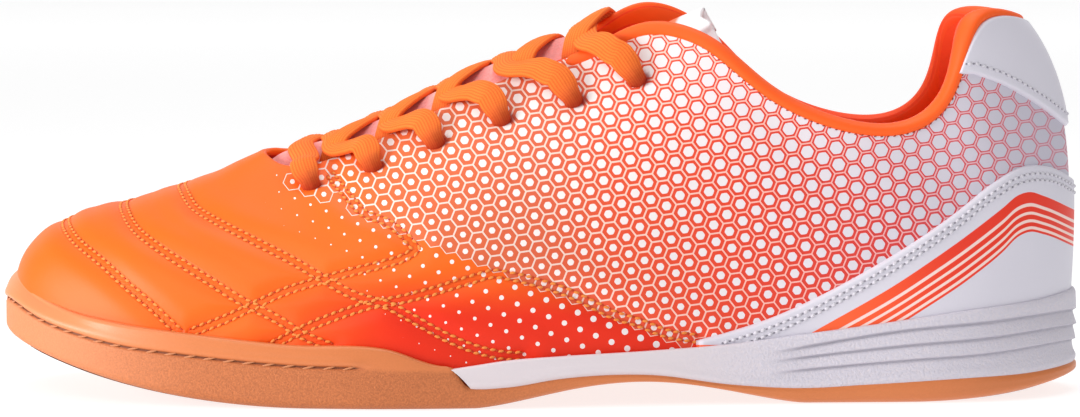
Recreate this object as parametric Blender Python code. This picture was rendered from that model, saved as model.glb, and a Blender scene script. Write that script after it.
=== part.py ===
"""Indoor court shoe for the left foot, as separate sub-parts.

The toe points to -X, the heel to +X, the outer side of the foot to -Y and up is +Z.
The ground is z = 0 and the origin is under the middle of the sole.
All sizes are in millimetres and become metres when a mesh is made.
"""
import math
from collections import namedtuple

import bmesh
import bpy
import numpy as np

MM = 0.001

# Driving dimensions
LENGTH = 285.0
BALL_WIDTH = 103.0
INSTEP_HEIGHT = 97.0
HEEL_HEIGHT = 99.0
WALL = 2.0
COLLAR_PAD = 4.0
GAP = 0.3

TOE_X = -LENGTH / 2.0
HEEL_X = LENGTH / 2.0
HALF_BALL = BALL_WIDTH / 2.0

# Ground line of the sole: two flat spots, the arch between them, and both ends lifted
FLAT_TOE_SIDE = -60.0
ARCH_FRONT = -16.0
ARCH_BACK = 68.0
FLAT_HEEL_SIDE = 96.0
TOE_SPRING = 15.5
ARCH_HEIGHT = 6.0
ARCH_FULLNESS = 1.4
HEEL_LIFT = 5.0

# Where the midsole starts behind the forefoot cup
JOIN_X = -23.0

# Insets of the sole's profile from its outer line
TREAD_INSET = 4.0
EDGE_INSET = 1.0
EDGE_RISE = 2.0
RIM_OUTER_INSET = 0.3
RIM_INNER_INSET = 1.8
FLOOR_INSET = 2.6
UPPER_INSET = 3.2

# Insole, tongue, laces and heel overlays
INSOLE_THICKNESS = 4.0
INSOLE_CLEARANCE = 0.8
INSOLE_END = 0.15
TONGUE_THICKNESS = 4.0
TONGUE_CLEARANCE = 1.3
TONGUE_CROWN = 5.5
TONGUE_SIDE_SHARES = (0.80, 0.86, 0.93, 1.0)
TONGUE_FIRST_SECTION = 1.0
TONGUE_LAST_SECTION = 10.0
CROWN_RUN = 3.0
CROWN_FALL = 12.5
CROWN_FALL_SECTION = 8.2
# Steps past the throat, in mm, and the share of the tongue's width left there. The tip rises at a slope,
# and its end leans back from the ridge to the sides.
TONGUE_TIP = ((5.0, 0.92), (10.0, 0.80), (14.0, 0.62))
TIP_SLOPE = math.radians(15.0)
TIP_LEAN = 0.4
LACE_WIDTH = 7.0
LACE_THICKNESS = 1.4
LACE_CLEARANCE = 0.7
OVERLAY_THICKNESS = 1.2

# Where the collar's padding starts: sections from the toe, and shares of the wall's height
PAD_SECTION = 10.3
PAD_SECTION_RUN = 1.5
PAD_SHARE = 0.55
PAD_SHARE_RUN = 0.4

# Mesh density, and the steps used for slopes and for finding crossings
COLUMNS_PER_SECTION = 3
UPPER_ROWS = 12
INSOLE_STATIONS = 28
INSOLE_ROWS = 5
COUNTER_COLUMNS = 33
COUNTER_ROWS = 6
TAB_COLUMNS = 13
TAB_ROWS = 5
LACE_STATIONS = 11
ARCH_STEPS = 16
FINE_STEP = 1e-3
HALVINGS = 40
SHARP_ANGLE = math.radians(40.0)

# One row for each section of the last, from toe tip to heel.
# along and top_along are shares of the length, from the toe. The widths are shares of half the ball width,
# lateral on the outer side of the foot and medial on the inner side. top_height is a share of the instep
# height, and medial_lift is how much higher the inner side's edge lies. rise and flare set how the wall
# leaves the sole, shoulder and pitch how it meets the throat or collar edge, in mm and degrees.
Section = namedtuple("Section", (
    "along", "lateral", "medial", "top_along", "top_lateral", "top_medial", "top_height", "medial_lift",
    "rise", "flare", "shoulder", "pitch"))
LAST = (
    Section(0.000, -0.155, 0.155, 0.240, -0.058, 0.058, 0.650, 0.0, 28.0, 0.0, 47.0, 22.0),
    Section(0.012, 0.214, 0.485, 0.243, 0.030, 0.136, 0.642, 1.0, 27.5, 0.0, 46.0, 22.0),
    Section(0.047, 0.485, 0.718, 0.251, 0.097, 0.194, 0.627, 2.5, 27.0, 0.0, 43.0, 22.0),
    Section(0.107, 0.718, 0.864, 0.265, 0.155, 0.233, 0.614, 3.5, 26.0, 0.5, 36.0, 23.0),
    Section(0.181, 0.864, 0.960, 0.293, 0.194, 0.262, 0.622, 4.0, 25.0, 1.0, 28.0, 26.0),
    Section(0.261, 0.951, 1.000, 0.335, 0.214, 0.272, 0.665, 4.0, 26.0, 1.5, 23.0, 31.0),
    Section(0.342, 1.000, 0.955, 0.384, 0.233, 0.282, 0.732, 4.0, 28.0, 2.0, 22.0, 36.0),
    Section(0.423, 0.980, 0.850, 0.440, 0.252, 0.291, 0.814, 3.5, 31.0, 2.0, 22.0, 41.0),
    Section(0.504, 0.913, 0.748, 0.497, 0.272, 0.301, 0.879, 3.5, 32.0, 2.0, 22.0, 46.0),
    Section(0.584, 0.835, 0.675, 0.549, 0.301, 0.320, 0.938, 4.0, 33.0, 2.0, 23.0, 51.0),
    Section(0.661, 0.767, 0.641, 0.598, 0.359, 0.359, 1.000, 4.5, 34.0, 2.0, 24.0, 58.0),
    Section(0.735, 0.728, 0.650, 0.656, 0.466, 0.456, 0.954, 2.0, 33.0, 2.0, 24.0, 68.0),
    Section(0.809, 0.709, 0.670, 0.714, 0.534, 0.515, 0.820, 0.0, 28.0, 2.0, 20.0, 74.0),
    Section(0.875, 0.670, 0.660, 0.798, 0.553, 0.534, 0.732, 0.0, 22.0, 2.0, 16.0, 76.0),
    Section(0.935, 0.553, 0.553, 0.864, 0.515, 0.500, 0.808, 0.0, 23.0, 2.0, 18.0, 78.0),
    Section(0.981, 0.311, 0.311, 0.897, 0.450, 0.440, 1.026, 0.0, 27.0, 2.0, 24.0, 56.0),
    Section(1.000, 0.000, 0.000, 0.942, 0.000, 0.000, HEEL_HEIGHT / INSTEP_HEIGHT, 0.0, 30.0, 2.0, 24.0, 46.0),
)
HEEL_SECTION = len(LAST) - 1
RING_SECTIONS = 2 * HEEL_SECTION

# Heights of the sole along its length, in mm. rim is its visible top line, floor is what the foot stands on,
# and plate is the top of the outsole under the midsole.
SoleHeight = namedtuple("SoleHeight", "along rim floor plate")
SOLE = (
    SoleHeight(0.000, 31.0, 22.0, 20.5),
    SoleHeight(0.023, 26.8, 19.6, 18.6),
    SoleHeight(0.060, 23.0, 16.2, 15.0),
    SoleHeight(0.115, 20.2, 12.8, 11.0),
    SoleHeight(0.190, 17.9, 10.0, 8.0),
    SoleHeight(0.275, 15.7, 8.0, 6.4),
    SoleHeight(0.363, 14.8, 7.5, 6.2),
    SoleHeight(0.419, 10.4, 7.7, 6.2),
    SoleHeight(0.437, 11.0, 7.9, 5.1),
    SoleHeight(0.470, 12.3, 8.3, 5.2),
    SoleHeight(0.520, 13.2, 9.2, 7.2),
    SoleHeight(0.600, 14.2, 11.0, 7.7),
    SoleHeight(0.672, 15.6, 12.8, 5.8),
    SoleHeight(0.735, 17.9, 14.6, 4.9),
    SoleHeight(0.795, 20.1, 16.2, 5.6),
    SoleHeight(0.890, 23.8, 18.2, 6.7),
    SoleHeight(0.950, 25.4, 19.2, 7.4),
    SoleHeight(1.000, 27.2, 20.0, 9.4),
)

# Upper edge of the heel counter and lower edge of the heel tab, seen from the side
Edge = namedtuple("Edge", "along height")
COUNTER_EDGE = (
    Edge(0.622, 14.9),
    Edge(0.712, 22.5),
    Edge(0.802, 35.3),
    Edge(0.879, 49.3),
    Edge(0.910, 56.0),
    Edge(0.938, 60.0),
    Edge(0.965, 59.8),
    Edge(1.000, 54.8),
)
TAB_EDGE = (
    Edge(0.893, 84.2),
    Edge(0.921, 81.2),
    Edge(0.956, 75.7),
    Edge(1.000, 67.0),
)
COUNTER_START = 9.75
TAB_START = 14.6

# Sections at which the six pairs of eyelets stand, and their place on the wall
EYELET_SECTIONS = (4.55, 5.55, 6.5, 7.45, 8.5, 9.5)
EYELET_ROW = 0.82
# How far from its own eyelet to the next a crossing strand leaves the throat edge, and its place over the arch
LACE_STARTS = (0.7, 0.3, 0.3, 0.3, 0.3)
EDGE_SHARE = 0.36


def clear_scene():
    """Remove every object of the start scene."""
    for thing in list(bpy.data.objects):
        bpy.data.objects.remove(thing, do_unlink=True)


def ring_spline(knots):
    """Return the periodic cubic through evenly spaced knots, as a function of the knot number."""
    count = len(knots)
    unit = np.eye(count)
    system = 4.0 * unit + np.roll(unit, 1, axis=1) + np.roll(unit, -1, axis=1)
    slopes = np.linalg.solve(system, 3.0 * (np.roll(knots, -1, axis=0) - np.roll(knots, 1, axis=0)))

    def value(place):
        place = np.asarray(place, dtype=float)
        first = np.floor(place).astype(int)
        part = (place - first)[..., None]
        start = first % count
        end = (first + 1) % count
        rise = knots[end] - knots[start]
        bend = 3.0 * rise - 2.0 * slopes[start] - slopes[end]
        twist = slopes[start] + slopes[end] - 2.0 * rise
        return knots[start] + part * (slopes[start] + part * (bend + part * twist))

    return value


def smooth_between(x, places, values):
    """Return the cubic through a table's rows, each slope taken from the rows beside it."""
    slopes = np.gradient(values, places)
    x = np.clip(x, places[0], places[-1])
    row = np.clip(np.searchsorted(places, x) - 1, 0, len(places) - 2)
    span = places[row + 1] - places[row]
    part = (x - places[row]) / span
    rise = values[row + 1] - values[row]
    start = slopes[row] * span
    end = slopes[row + 1] * span
    return values[row] + part * (start + part * (3 * rise - 2 * start - end + part * (start + end - 2 * rise)))


def along_to_x(along):
    """Turn a share of the length into a place along X."""
    return TOE_X + np.asarray(along) * LENGTH


def last_ring():
    """Return the last's values section by section, round the outer side to the heel and back."""
    rows = []
    for section in LAST[:-1]:
        rows.append((section, -section.lateral, -section.top_lateral, 0.0))
    for section in LAST[:0:-1]:
        rows.append((section, section.medial, section.top_medial, section.medial_lift))
    knots = []
    for section, width, top_width, lift in rows:
        knots.append((
            along_to_x(section.along),
            width * HALF_BALL,
            along_to_x(section.top_along),
            top_width * HALF_BALL,
            section.top_height * INSTEP_HEIGHT + lift,
            section.rise,
            section.flare,
            section.shoulder,
            math.radians(section.pitch),
        ))
    return ring_spline(np.array(knots))


RING = last_ring()
SOLE_PLACES = along_to_x([row.along for row in SOLE])
SOLE_RIM = np.array([row.rim for row in SOLE])
SOLE_FLOOR = np.array([row.floor for row in SOLE])
SOLE_PLATE = np.array([row.plate for row in SOLE])


def ground_height(x):
    """Return the height of the sole's underside over the ground."""
    toe = np.clip(FLAT_TOE_SIDE - x, 0.0, None) / (FLAT_TOE_SIDE - TOE_X)
    arch = np.clip((x - ARCH_FRONT) / (ARCH_BACK - ARCH_FRONT), 0.0, 1.0)
    heel = np.clip(x - FLAT_HEEL_SIDE, 0.0, None) / (HEEL_X - FLAT_HEEL_SIDE)
    vault = np.where((arch > 0.0) & (arch < 1.0), np.abs(np.sin(math.pi * arch)), 0.0)
    return TOE_SPRING * toe**2 + ARCH_HEIGHT * vault**ARCH_FULLNESS + HEEL_LIFT * heel**2


def rim_height(x):
    """Return the height of the sole's visible top line."""
    return smooth_between(x, SOLE_PLACES, SOLE_RIM)


def floor_height(x):
    """Return the height of the floor inside the sole."""
    return smooth_between(x, SOLE_PLACES, SOLE_FLOOR)


def plate_height(x):
    """Return the height of the outsole's top under the midsole."""
    return smooth_between(x, SOLE_PLACES, SOLE_PLATE)


def outline(place, inset):
    """Return the sole's plan line, moved inwards by an inset, and its outward direction."""
    point = RING(place)[..., :2]
    step = RING(place + FINE_STEP)[..., :2] - RING(place - FINE_STEP)[..., :2]
    outward = np.stack([step[..., 1], -step[..., 0]], axis=-1)
    outward /= np.linalg.norm(outward, axis=-1, keepdims=True)
    return point - inset * outward, outward


def stack(plan, height):
    """Join plan points and heights into points in space."""
    return np.concatenate([plan, np.broadcast_to(height, plan.shape[:-1])[..., None]], axis=-1)


def upper_skin(place, share):
    """Return the outer face of the upper: place runs round the last, share from the sole to the top edge."""
    share = np.asarray(share, dtype=float)[..., None]
    values = RING(place)
    plan, outward = outline(place, UPPER_INSET)
    foot = stack(plan, floor_height(plan[..., 0]) + GAP)
    top = values[..., 2:5]
    run = foot[..., :2] - top[..., :2]
    run = run / np.linalg.norm(run, axis=-1, keepdims=True)
    wall = foot + stack(values[..., 6:7] * outward, values[..., 5])
    reach = values[..., 7]
    pitch = values[..., 8]
    brow = top + stack((reach * np.cos(pitch))[..., None] * run, -reach * np.sin(pitch))
    rest = 1.0 - share
    return rest**3 * foot + 3 * rest**2 * share * wall + 3 * rest * share**2 * brow + share**3 * top


def upper_offset(place, share, distance):
    """Return the upper's skin moved outwards by a distance along its own normal."""
    place = np.asarray(place, dtype=float)
    share = np.asarray(share, dtype=float)
    round_step = upper_skin(place + FINE_STEP, share) - upper_skin(place - FINE_STEP, share)
    up_step = upper_skin(place, share + FINE_STEP) - upper_skin(place, share - FINE_STEP)
    normal = np.cross(round_step, up_step)
    normal /= np.linalg.norm(normal, axis=-1, keepdims=True)
    return upper_skin(place, share) + np.asarray(distance)[..., None] * normal


def soft_step(value):
    """Return a smooth ramp from 0 to 1."""
    value = np.clip(value, 0.0, 1.0)
    return value * value * (3.0 - 2.0 * value)


def wall_thickness(place, share):
    """Return the upper's wall: leather all over, with padding at the collar."""
    from_toe = np.minimum(place, RING_SECTIONS - place)
    round_collar = soft_step((from_toe - PAD_SECTION) / PAD_SECTION_RUN)
    near_edge = soft_step((share - PAD_SHARE) / PAD_SHARE_RUN)
    return WALL + COLLAR_PAD * round_collar * near_edge


def share_at(place, line):
    """Find where each column of the upper crosses a line given as a height over X."""
    low = np.zeros_like(place)
    high = np.ones_like(place)
    for _ in range(HALVINGS):
        middle = (low + high) / 2.0
        point = upper_skin(place, middle)
        below = point[..., 2] < line(point[..., 0])
        low = np.where(below, middle, low)
        high = np.where(below, high, middle)
    return high


def section_at(x):
    """Find the section number whose outer line stands at a place along X."""
    low = 0.0
    high = float(HEEL_SECTION)
    for _ in range(HALVINGS):
        middle = (low + high) / 2.0
        if RING(middle)[0] < x:
            low = middle
        else:
            high = middle
    return high


def skin_material(name, colour, roughness):
    """Make a plain material of one colour."""
    material = bpy.data.materials.new(name)
    material.use_nodes = True
    shader = material.node_tree.nodes["Principled BSDF"]
    shader.inputs["Base Color"].default_value = (*colour, 1.0)
    shader.inputs["Roughness"].default_value = roughness
    shader.inputs["Metallic"].default_value = 0.0
    return material


def add_object(name, bm, material):
    """Close a bmesh into a named object with its faces pointing out."""
    bmesh.ops.triangulate(bm, faces=bm.faces[:])
    bmesh.ops.recalc_face_normals(bm, faces=bm.faces[:])
    mesh = bpy.data.meshes.new(name)
    bm.to_mesh(mesh)
    bm.free()
    mesh.shade_smooth()
    mesh.set_sharp_from_angle(angle=SHARP_ANGLE)
    mesh.materials.append(material)
    thing = bpy.data.objects.new(name, mesh)
    bpy.context.collection.objects.link(thing)
    return thing


def add_points(bm, points):
    """Add a row of points given in mm."""
    return [bm.verts.new(tuple(float(value) * MM for value in point)) for point in points]


def skin_rows(bm, first, second, closed):
    """Join two rows of points with faces."""
    count = len(first)
    last = count if closed else count - 1
    for index in range(last):
        after = (index + 1) % count
        bm.faces.new((first[index], first[after], second[after], second[index]))


def skin_pairs(bm, row):
    """Close a row that runs from one side round an end to the other by joining its facing points."""
    near = 0
    far = len(row) - 1
    while far - near > 2:
        bm.faces.new((row[near], row[near + 1], row[far - 1], row[far]))
        near += 1
        far -= 1
    if far - near == 2:
        bm.faces.new((row[near], row[near + 1], row[far]))


def skin_across(bm, ring):
    """Close a ring that starts at the toe by joining each point to the one that faces it."""
    heel = len(ring) // 2
    bm.faces.new((ring[0], ring[1], ring[-1]))
    for index in range(1, heel - 1):
        bm.faces.new((ring[index], ring[index + 1], ring[-index - 1], ring[-index]))
    bm.faces.new((ring[heel - 1], ring[heel], ring[heel + 1]))


def add_slab(name, outer, inner, material):
    """Make a closed slab between two grids of points."""
    bm = bmesh.new()
    faces_out = [add_points(bm, row) for row in outer]
    faces_in = [add_points(bm, row) for row in inner]
    for grid in (faces_out, faces_in):
        for first, second in zip(grid[:-1], grid[1:]):
            skin_rows(bm, first, second, False)
    edge_out = [faces_out[0], faces_out[-1]]
    edge_in = [faces_in[0], faces_in[-1]]
    edge_out += [[row[0] for row in faces_out], [row[-1] for row in faces_out]]
    edge_in += [[row[0] for row in faces_in], [row[-1] for row in faces_in]]
    for first, second in zip(edge_out, edge_in):
        skin_rows(bm, first, second, False)
    return add_object(name, bm, material)


def ring_places():
    """Return the columns of the upper and outsole, evenly round the last."""
    return np.arange(RING_SECTIONS * COLUMNS_PER_SECTION) / COLUMNS_PER_SECTION


def sole_places():
    """Return the columns of outsole and midsole, with extra ones where the midsole starts."""
    extra = []
    for offset in (-0.5 * GAP, 0.5 * GAP, 1.5 * GAP):
        section = section_at(JOIN_X + offset)
        extra += [section, RING_SECTIONS - section]
    return np.sort(np.concatenate([ring_places(), extra]))


def make_outsole(material):
    """Gum cup under the forefoot that runs on as a plate under the midsole."""
    places = sole_places()
    centre = RING(places)[..., 0]
    in_cup = centre < JOIN_X

    def row(inset, height):
        plan, _ = outline(places, inset)
        return stack(plan, height(plan[..., 0]))

    def top(x):
        return np.where(in_cup, rim_height(x), plate_height(x))

    def floor(x):
        return np.where(in_cup, floor_height(x), plate_height(x))

    def middle(x):
        return 0.5 * ground_height(x) + 0.5 * top(x)

    profile = [
        row(TREAD_INSET, ground_height),
        row(EDGE_INSET, lambda x: np.minimum(ground_height(x) + EDGE_RISE, middle(x) - GAP)),
        row(0.0, middle),
        row(RIM_OUTER_INSET, top),
        row(RIM_INNER_INSET, top),
        row(FLOOR_INSET, floor),
    ]
    bm = bmesh.new()
    rows = [add_points(bm, points) for points in profile]
    for first, second in zip(rows[:-1], rows[1:]):
        skin_rows(bm, first, second, True)
    for edge in (rows[0], rows[-1]):
        skin_across(bm, edge)
    return add_object("outsole", bm, material)


def make_midsole(material):
    """Foam wedge from the waist to the heel, with a rim that holds the upper."""
    places = sole_places()
    places = places[RING(places)[..., 0] > JOIN_X + GAP]

    def row(inset, height):
        plan, _ = outline(places, inset)
        return stack(plan, height(plan[..., 0]))

    def bottom(x):
        return plate_height(x) + GAP

    profile = [
        row(EDGE_INSET, bottom),
        row(0.0, lambda x: 0.5 * bottom(x) + 0.5 * rim_height(x)),
        row(RIM_OUTER_INSET, rim_height),
        row(RIM_INNER_INSET, rim_height),
        row(FLOOR_INSET, floor_height),
    ]
    bm = bmesh.new()
    rows = [add_points(bm, points) for points in profile]
    for first, second in zip(rows[:-1], rows[1:]):
        skin_rows(bm, first, second, False)
    skin_pairs(bm, rows[0])
    skin_pairs(bm, rows[-1])
    for first, second in zip(rows[:-1], rows[1:]):
        bm.faces.new((first[0], second[0], second[-1], first[-1]))
    return add_object("midsole", bm, material)


def make_upper(material):
    """Hollow leather shell, open at the collar, at the throat and underneath."""
    places = ring_places()
    bm = bmesh.new()
    rows = []
    shares = np.linspace(0.0, 1.0, UPPER_ROWS)
    for share in shares:
        level = np.full_like(places, share)
        rows.append(add_points(bm, upper_skin(places, level)))
    for share in shares[::-1]:
        level = np.full_like(places, share)
        rows.append(add_points(bm, upper_offset(places, level, -wall_thickness(places, level))))
    for first, second in zip(rows, rows[1:] + rows[:1]):
        skin_rows(bm, first, second, True)
    return add_object("upper", bm, material)


def make_insole(material):
    """Sock board on the floor inside the upper."""
    sections = np.linspace(INSOLE_END, HEEL_SECTION - INSOLE_END, INSOLE_STATIONS)
    inset = UPPER_INSET + WALL + INSOLE_CLEARANCE
    near, _ = outline(sections, inset)
    far, _ = outline(RING_SECTIONS - sections, inset)
    under = []
    over = []
    for share in np.linspace(0.0, 1.0, INSOLE_ROWS):
        plan = near + share * (far - near)
        base = floor_height(plan[..., 0]) + GAP
        under.append(stack(plan, base))
        over.append(stack(plan, base + INSOLE_THICKNESS))
    return add_slab("insole", over, under, material)


def throat_section(section, distance, shares):
    """Return one side's and the other side's points of the upper at a section, moved off the skin."""
    shares = np.asarray(shares)
    near = upper_offset(np.full_like(shares, section), shares, distance)
    far = upper_offset(np.full_like(shares, RING_SECTIONS - section), shares, distance)
    return near, far


def throat_crown(section):
    """Return the middle of the arch over the throat at a section."""
    lining = -(WALL + TONGUE_CLEARANCE)
    near, far = throat_section(section, lining, [1.0])
    middle = (near[0] + far[0]) / 2.0
    middle[2] += TONGUE_CROWN * soft_step((section - TONGUE_FIRST_SECTION) / CROWN_RUN)
    return middle


def tongue_crown(section):
    """Return the middle of the tongue's outer face at a section, which sinks below the collar."""
    middle = throat_crown(section)
    run = TONGUE_LAST_SECTION - CROWN_FALL_SECTION
    middle[2] -= CROWN_FALL * soft_step((section - CROWN_FALL_SECTION) / run)
    return middle


def open_spline(points, per_span):
    """Return points on a smooth curve through given points."""
    points = np.asarray(points)
    places = np.arange(len(points), dtype=float)
    fine = np.linspace(0.0, len(points) - 1.0, (len(points) - 1) * per_span + 1)
    return np.stack([smooth_between(fine, places, points[:, axis]) for axis in range(3)], axis=-1)


def grid_normals(grid):
    """Return the unit normals of a grid of points."""
    across = np.gradient(grid, axis=1)
    along = np.gradient(grid, axis=0)
    normal = np.cross(along, across)
    return normal / np.linalg.norm(normal, axis=-1, keepdims=True)


def make_tongue(material):
    """Padded tongue that lies under both sides of the throat and ends in a free tip."""
    lining = -(WALL + TONGUE_CLEARANCE)
    rows = []
    count = round((TONGUE_LAST_SECTION - TONGUE_FIRST_SECTION) * COLUMNS_PER_SECTION) + 1
    for section in np.linspace(TONGUE_FIRST_SECTION, TONGUE_LAST_SECTION, count):
        near, far = throat_section(section, lining, TONGUE_SIDE_SHARES)
        rows.append(open_spline([*near, tongue_crown(section), *far[::-1]], 2))
    last = rows[-1]
    crown = last[len(last) // 2]
    ridge = np.array([math.cos(TIP_SLOPE), 0.0, math.sin(TIP_SLOPE)])
    for reach, width in TONGUE_TIP:
        row = crown + (last - crown) * width + ridge * reach
        row[:, 0] += TIP_LEAN * (row[len(row) // 2, 2] - row[:, 2]) * reach / TONGUE_TIP[-1][0]
        rows.append(row)
    outer = np.array(rows)
    normal = grid_normals(outer)
    normal *= np.sign(normal[count // 2, outer.shape[1] // 2, 2])
    return add_slab("tongue", outer, outer - TONGUE_THICKNESS * normal, material)


def make_overlay(name, places, low_line, high_line, rows, material):
    """Make a leather overlay on the upper between two lines seen from the side."""
    low = share_at(places, low_line)
    high = share_at(places, high_line)
    outer = []
    inner = []
    for part in np.linspace(0.0, 1.0, rows):
        share = low + part * (high - low)
        inner.append(upper_offset(places, share, np.full_like(places, GAP)))
        outer.append(upper_offset(places, share, np.full_like(places, GAP + OVERLAY_THICKNESS)))
    return add_slab(name, outer, inner, material)


def edge_line(table):
    """Return a table's edge as a height over X."""
    places = along_to_x([row.along for row in table])
    heights = np.array([row.height for row in table])
    return lambda x: smooth_between(x, places, heights)


def make_heel_counter(material):
    """White overlay that wraps the heel from waist to waist."""
    places = np.linspace(COUNTER_START, RING_SECTIONS - COUNTER_START, COUNTER_COLUMNS)

    def above_rim(x):
        return rim_height(x) + 2 * GAP

    return make_overlay("heel_counter", places, above_rim, edge_line(COUNTER_EDGE), COUNTER_ROWS, material)


def make_heel_tab(material):
    """White overlay at the top of the heel."""
    places = np.linspace(TAB_START, RING_SECTIONS - TAB_START, TAB_COLUMNS)

    def top_edge(x):
        return np.full_like(x, HEEL_HEIGHT)

    return make_overlay("heel_tab", places, edge_line(TAB_EDGE), top_edge, TAB_ROWS, material)


def throat_arch(section):
    """Return the line over the throat at a section, from the outer side's eyelet to the inner side's."""
    near, far = throat_section(section, 0.0, [EYELET_ROW, (EYELET_ROW + 1.0) / 2.0, 1.0])
    return open_spline([*near, throat_crown(section), *far[::-1]], ARCH_STEPS)


def lace_path(start, end, first_share, to_lateral):
    """Return a lace's path over the throat to an eyelet, and the directions that point off the foot."""
    points = []
    normals = []
    for part in np.linspace(0.0, 1.0, LACE_STATIONS):
        section = start + part * (end - start)
        share = first_share + part * (1.0 - first_share)
        if to_lateral:
            share = 1.0 - share
        arch = throat_arch(section)
        along = throat_arch(section + FINE_STEP) - throat_arch(section - FINE_STEP)
        normal = np.cross(np.gradient(arch, axis=0), along)
        index = int(round(share * (len(arch) - 1)))
        points.append(arch[index])
        normals.append(normal[index] * np.sign(normal[index][2]))
    return np.array(points), np.array(normals)


def lace_mesh(path):
    """Sweep a flat lace along a path over the instep."""
    points, up = path
    run = np.gradient(points, axis=0)
    run /= np.linalg.norm(run, axis=1, keepdims=True)
    across = np.cross(up, run)
    across /= np.linalg.norm(across, axis=1, keepdims=True)
    up = np.cross(run, across)
    base = points + up * LACE_CLEARANCE
    bm = bmesh.new()
    corners = ((-0.5, 0.0), (0.5, 0.0), (0.5, 1.0), (-0.5, 1.0))
    rings = []
    for point, side, top in zip(base, across, up):
        ring = [point + side * LACE_WIDTH * wide + top * LACE_THICKNESS * high for wide, high in corners]
        rings.append(add_points(bm, ring))
    for first, second in zip(rings[:-1], rings[1:]):
        skin_rows(bm, first, second, True)
    bm.faces.new(rings[0])
    bm.faces.new(rings[-1])
    return bm


def make_laces(material):
    """One bar over the first eyelets and five crossings above it."""
    first = EYELET_SECTIONS[0]
    add_object("lace_bar", lace_mesh(lace_path(first, first, 0.0, False)), material)
    crossings = zip(EYELET_SECTIONS[:-1], EYELET_SECTIONS[1:], LACE_STARTS)
    for number, (low, high, lead) in enumerate(crossings, start=1):
        start = low + lead * (high - low)
        to_medial = lace_mesh(lace_path(start, high, EDGE_SHARE, False))
        to_lateral = lace_mesh(lace_path(start, high, EDGE_SHARE, True))
        crossing = add_object(f"lace_cross_{number}", to_medial, material)
        strand = add_object(f"lace_strand_{number}", to_lateral, material)
        strand.hide_render = True
        strand.display_type = "WIRE"
        join = crossing.modifiers.new("join", "BOOLEAN")
        join.operation = "UNION"
        join.object = strand


def main():
    """Build every sub-part of the shoe."""
    clear_scene()
    make_outsole(skin_material("gum_rubber", (0.60, 0.26, 0.10), 0.6))
    make_midsole(skin_material("white_foam", (0.80, 0.78, 0.82), 0.6))
    make_upper(skin_material("orange_leather", (0.85, 0.16, 0.04), 0.45))
    make_insole(skin_material("insole_fabric", (0.75, 0.14, 0.05), 0.9))
    make_tongue(skin_material("tongue_fabric", (0.85, 0.28, 0.20), 0.85))
    make_heel_counter(skin_material("counter_leather", (0.82, 0.80, 0.84), 0.5))
    make_heel_tab(skin_material("tab_leather", (0.84, 0.82, 0.86), 0.5))
    make_laces(skin_material("lace_cord", (0.90, 0.22, 0.07), 0.8))


if __name__ == "__main__":
    main()
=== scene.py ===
"""Looks of an indoor court shoe for the left foot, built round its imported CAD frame.

The toe points to -X, the heel to +X, the outer side of the foot to -Y and up is +Z.
Shapes are worked out in millimetres and become metres when a mesh is made.
"""

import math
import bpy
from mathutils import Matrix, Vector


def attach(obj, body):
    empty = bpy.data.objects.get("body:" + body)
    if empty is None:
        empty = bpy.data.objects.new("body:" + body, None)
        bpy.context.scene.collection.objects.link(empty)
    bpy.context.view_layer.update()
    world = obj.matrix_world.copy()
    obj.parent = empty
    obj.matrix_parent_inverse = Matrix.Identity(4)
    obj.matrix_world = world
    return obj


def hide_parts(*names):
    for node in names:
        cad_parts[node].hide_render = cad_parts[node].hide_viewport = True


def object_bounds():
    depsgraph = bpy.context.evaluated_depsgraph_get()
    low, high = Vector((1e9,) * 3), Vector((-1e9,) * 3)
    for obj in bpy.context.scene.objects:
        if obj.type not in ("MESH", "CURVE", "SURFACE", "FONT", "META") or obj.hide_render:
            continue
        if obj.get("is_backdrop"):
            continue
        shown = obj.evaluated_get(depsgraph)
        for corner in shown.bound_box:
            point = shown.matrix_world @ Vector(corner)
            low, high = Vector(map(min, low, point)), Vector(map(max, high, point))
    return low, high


bl_info = {
    "name": "Indoor Court Shoe",
    "version": (1, 0, 0),
    "blender": (4, 5, 0),
    "location": "View3D > Sidebar > Shoe",
    "description": "Builds the leather, laces, soles and stitching of an indoor court shoe",
    "category": "Object",
}

from collections import namedtuple

import bmesh
import bpy
import numpy as np
from bpy.props import FloatProperty, FloatVectorProperty, PointerProperty
from mathutils import Vector
from mathutils.kdtree import KDTree

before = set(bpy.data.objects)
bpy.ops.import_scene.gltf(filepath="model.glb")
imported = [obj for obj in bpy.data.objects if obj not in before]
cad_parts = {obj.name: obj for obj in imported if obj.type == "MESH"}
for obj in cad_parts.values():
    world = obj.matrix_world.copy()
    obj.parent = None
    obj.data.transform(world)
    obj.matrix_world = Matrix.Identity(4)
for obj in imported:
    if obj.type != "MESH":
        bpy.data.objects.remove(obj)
CAD_BOX = [list(corner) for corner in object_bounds()]
MM = 0.001

# Driving dimensions of the last, in mm
LENGTH = 285.0
HALF_BALL = 51.5
INSTEP_HEIGHT = 97.0
HEEL_HEIGHT = 99.0
HEEL_TOP = HEEL_HEIGHT / INSTEP_HEIGHT
WALL = 2.0
COLLAR_PAD = 4.0
GAP = 0.3
TOE_X = -LENGTH / 2.0
HEEL_X = LENGTH / 2.0
JOIN_X = -23.0
UPPER_INSET = 3.2

# Ground line: two flat spots, the arch between them, and both ends lifted
FLAT_TOE_SIDE = -60.0
ARCH_FRONT = -16.0
ARCH_BACK = 68.0
FLAT_HEEL_SIDE = 96.0
TOE_SPRING = 15.5
ARCH_HEIGHT = 6.0
ARCH_FULLNESS = 1.4
HEEL_LIFT = 5.0

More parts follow.
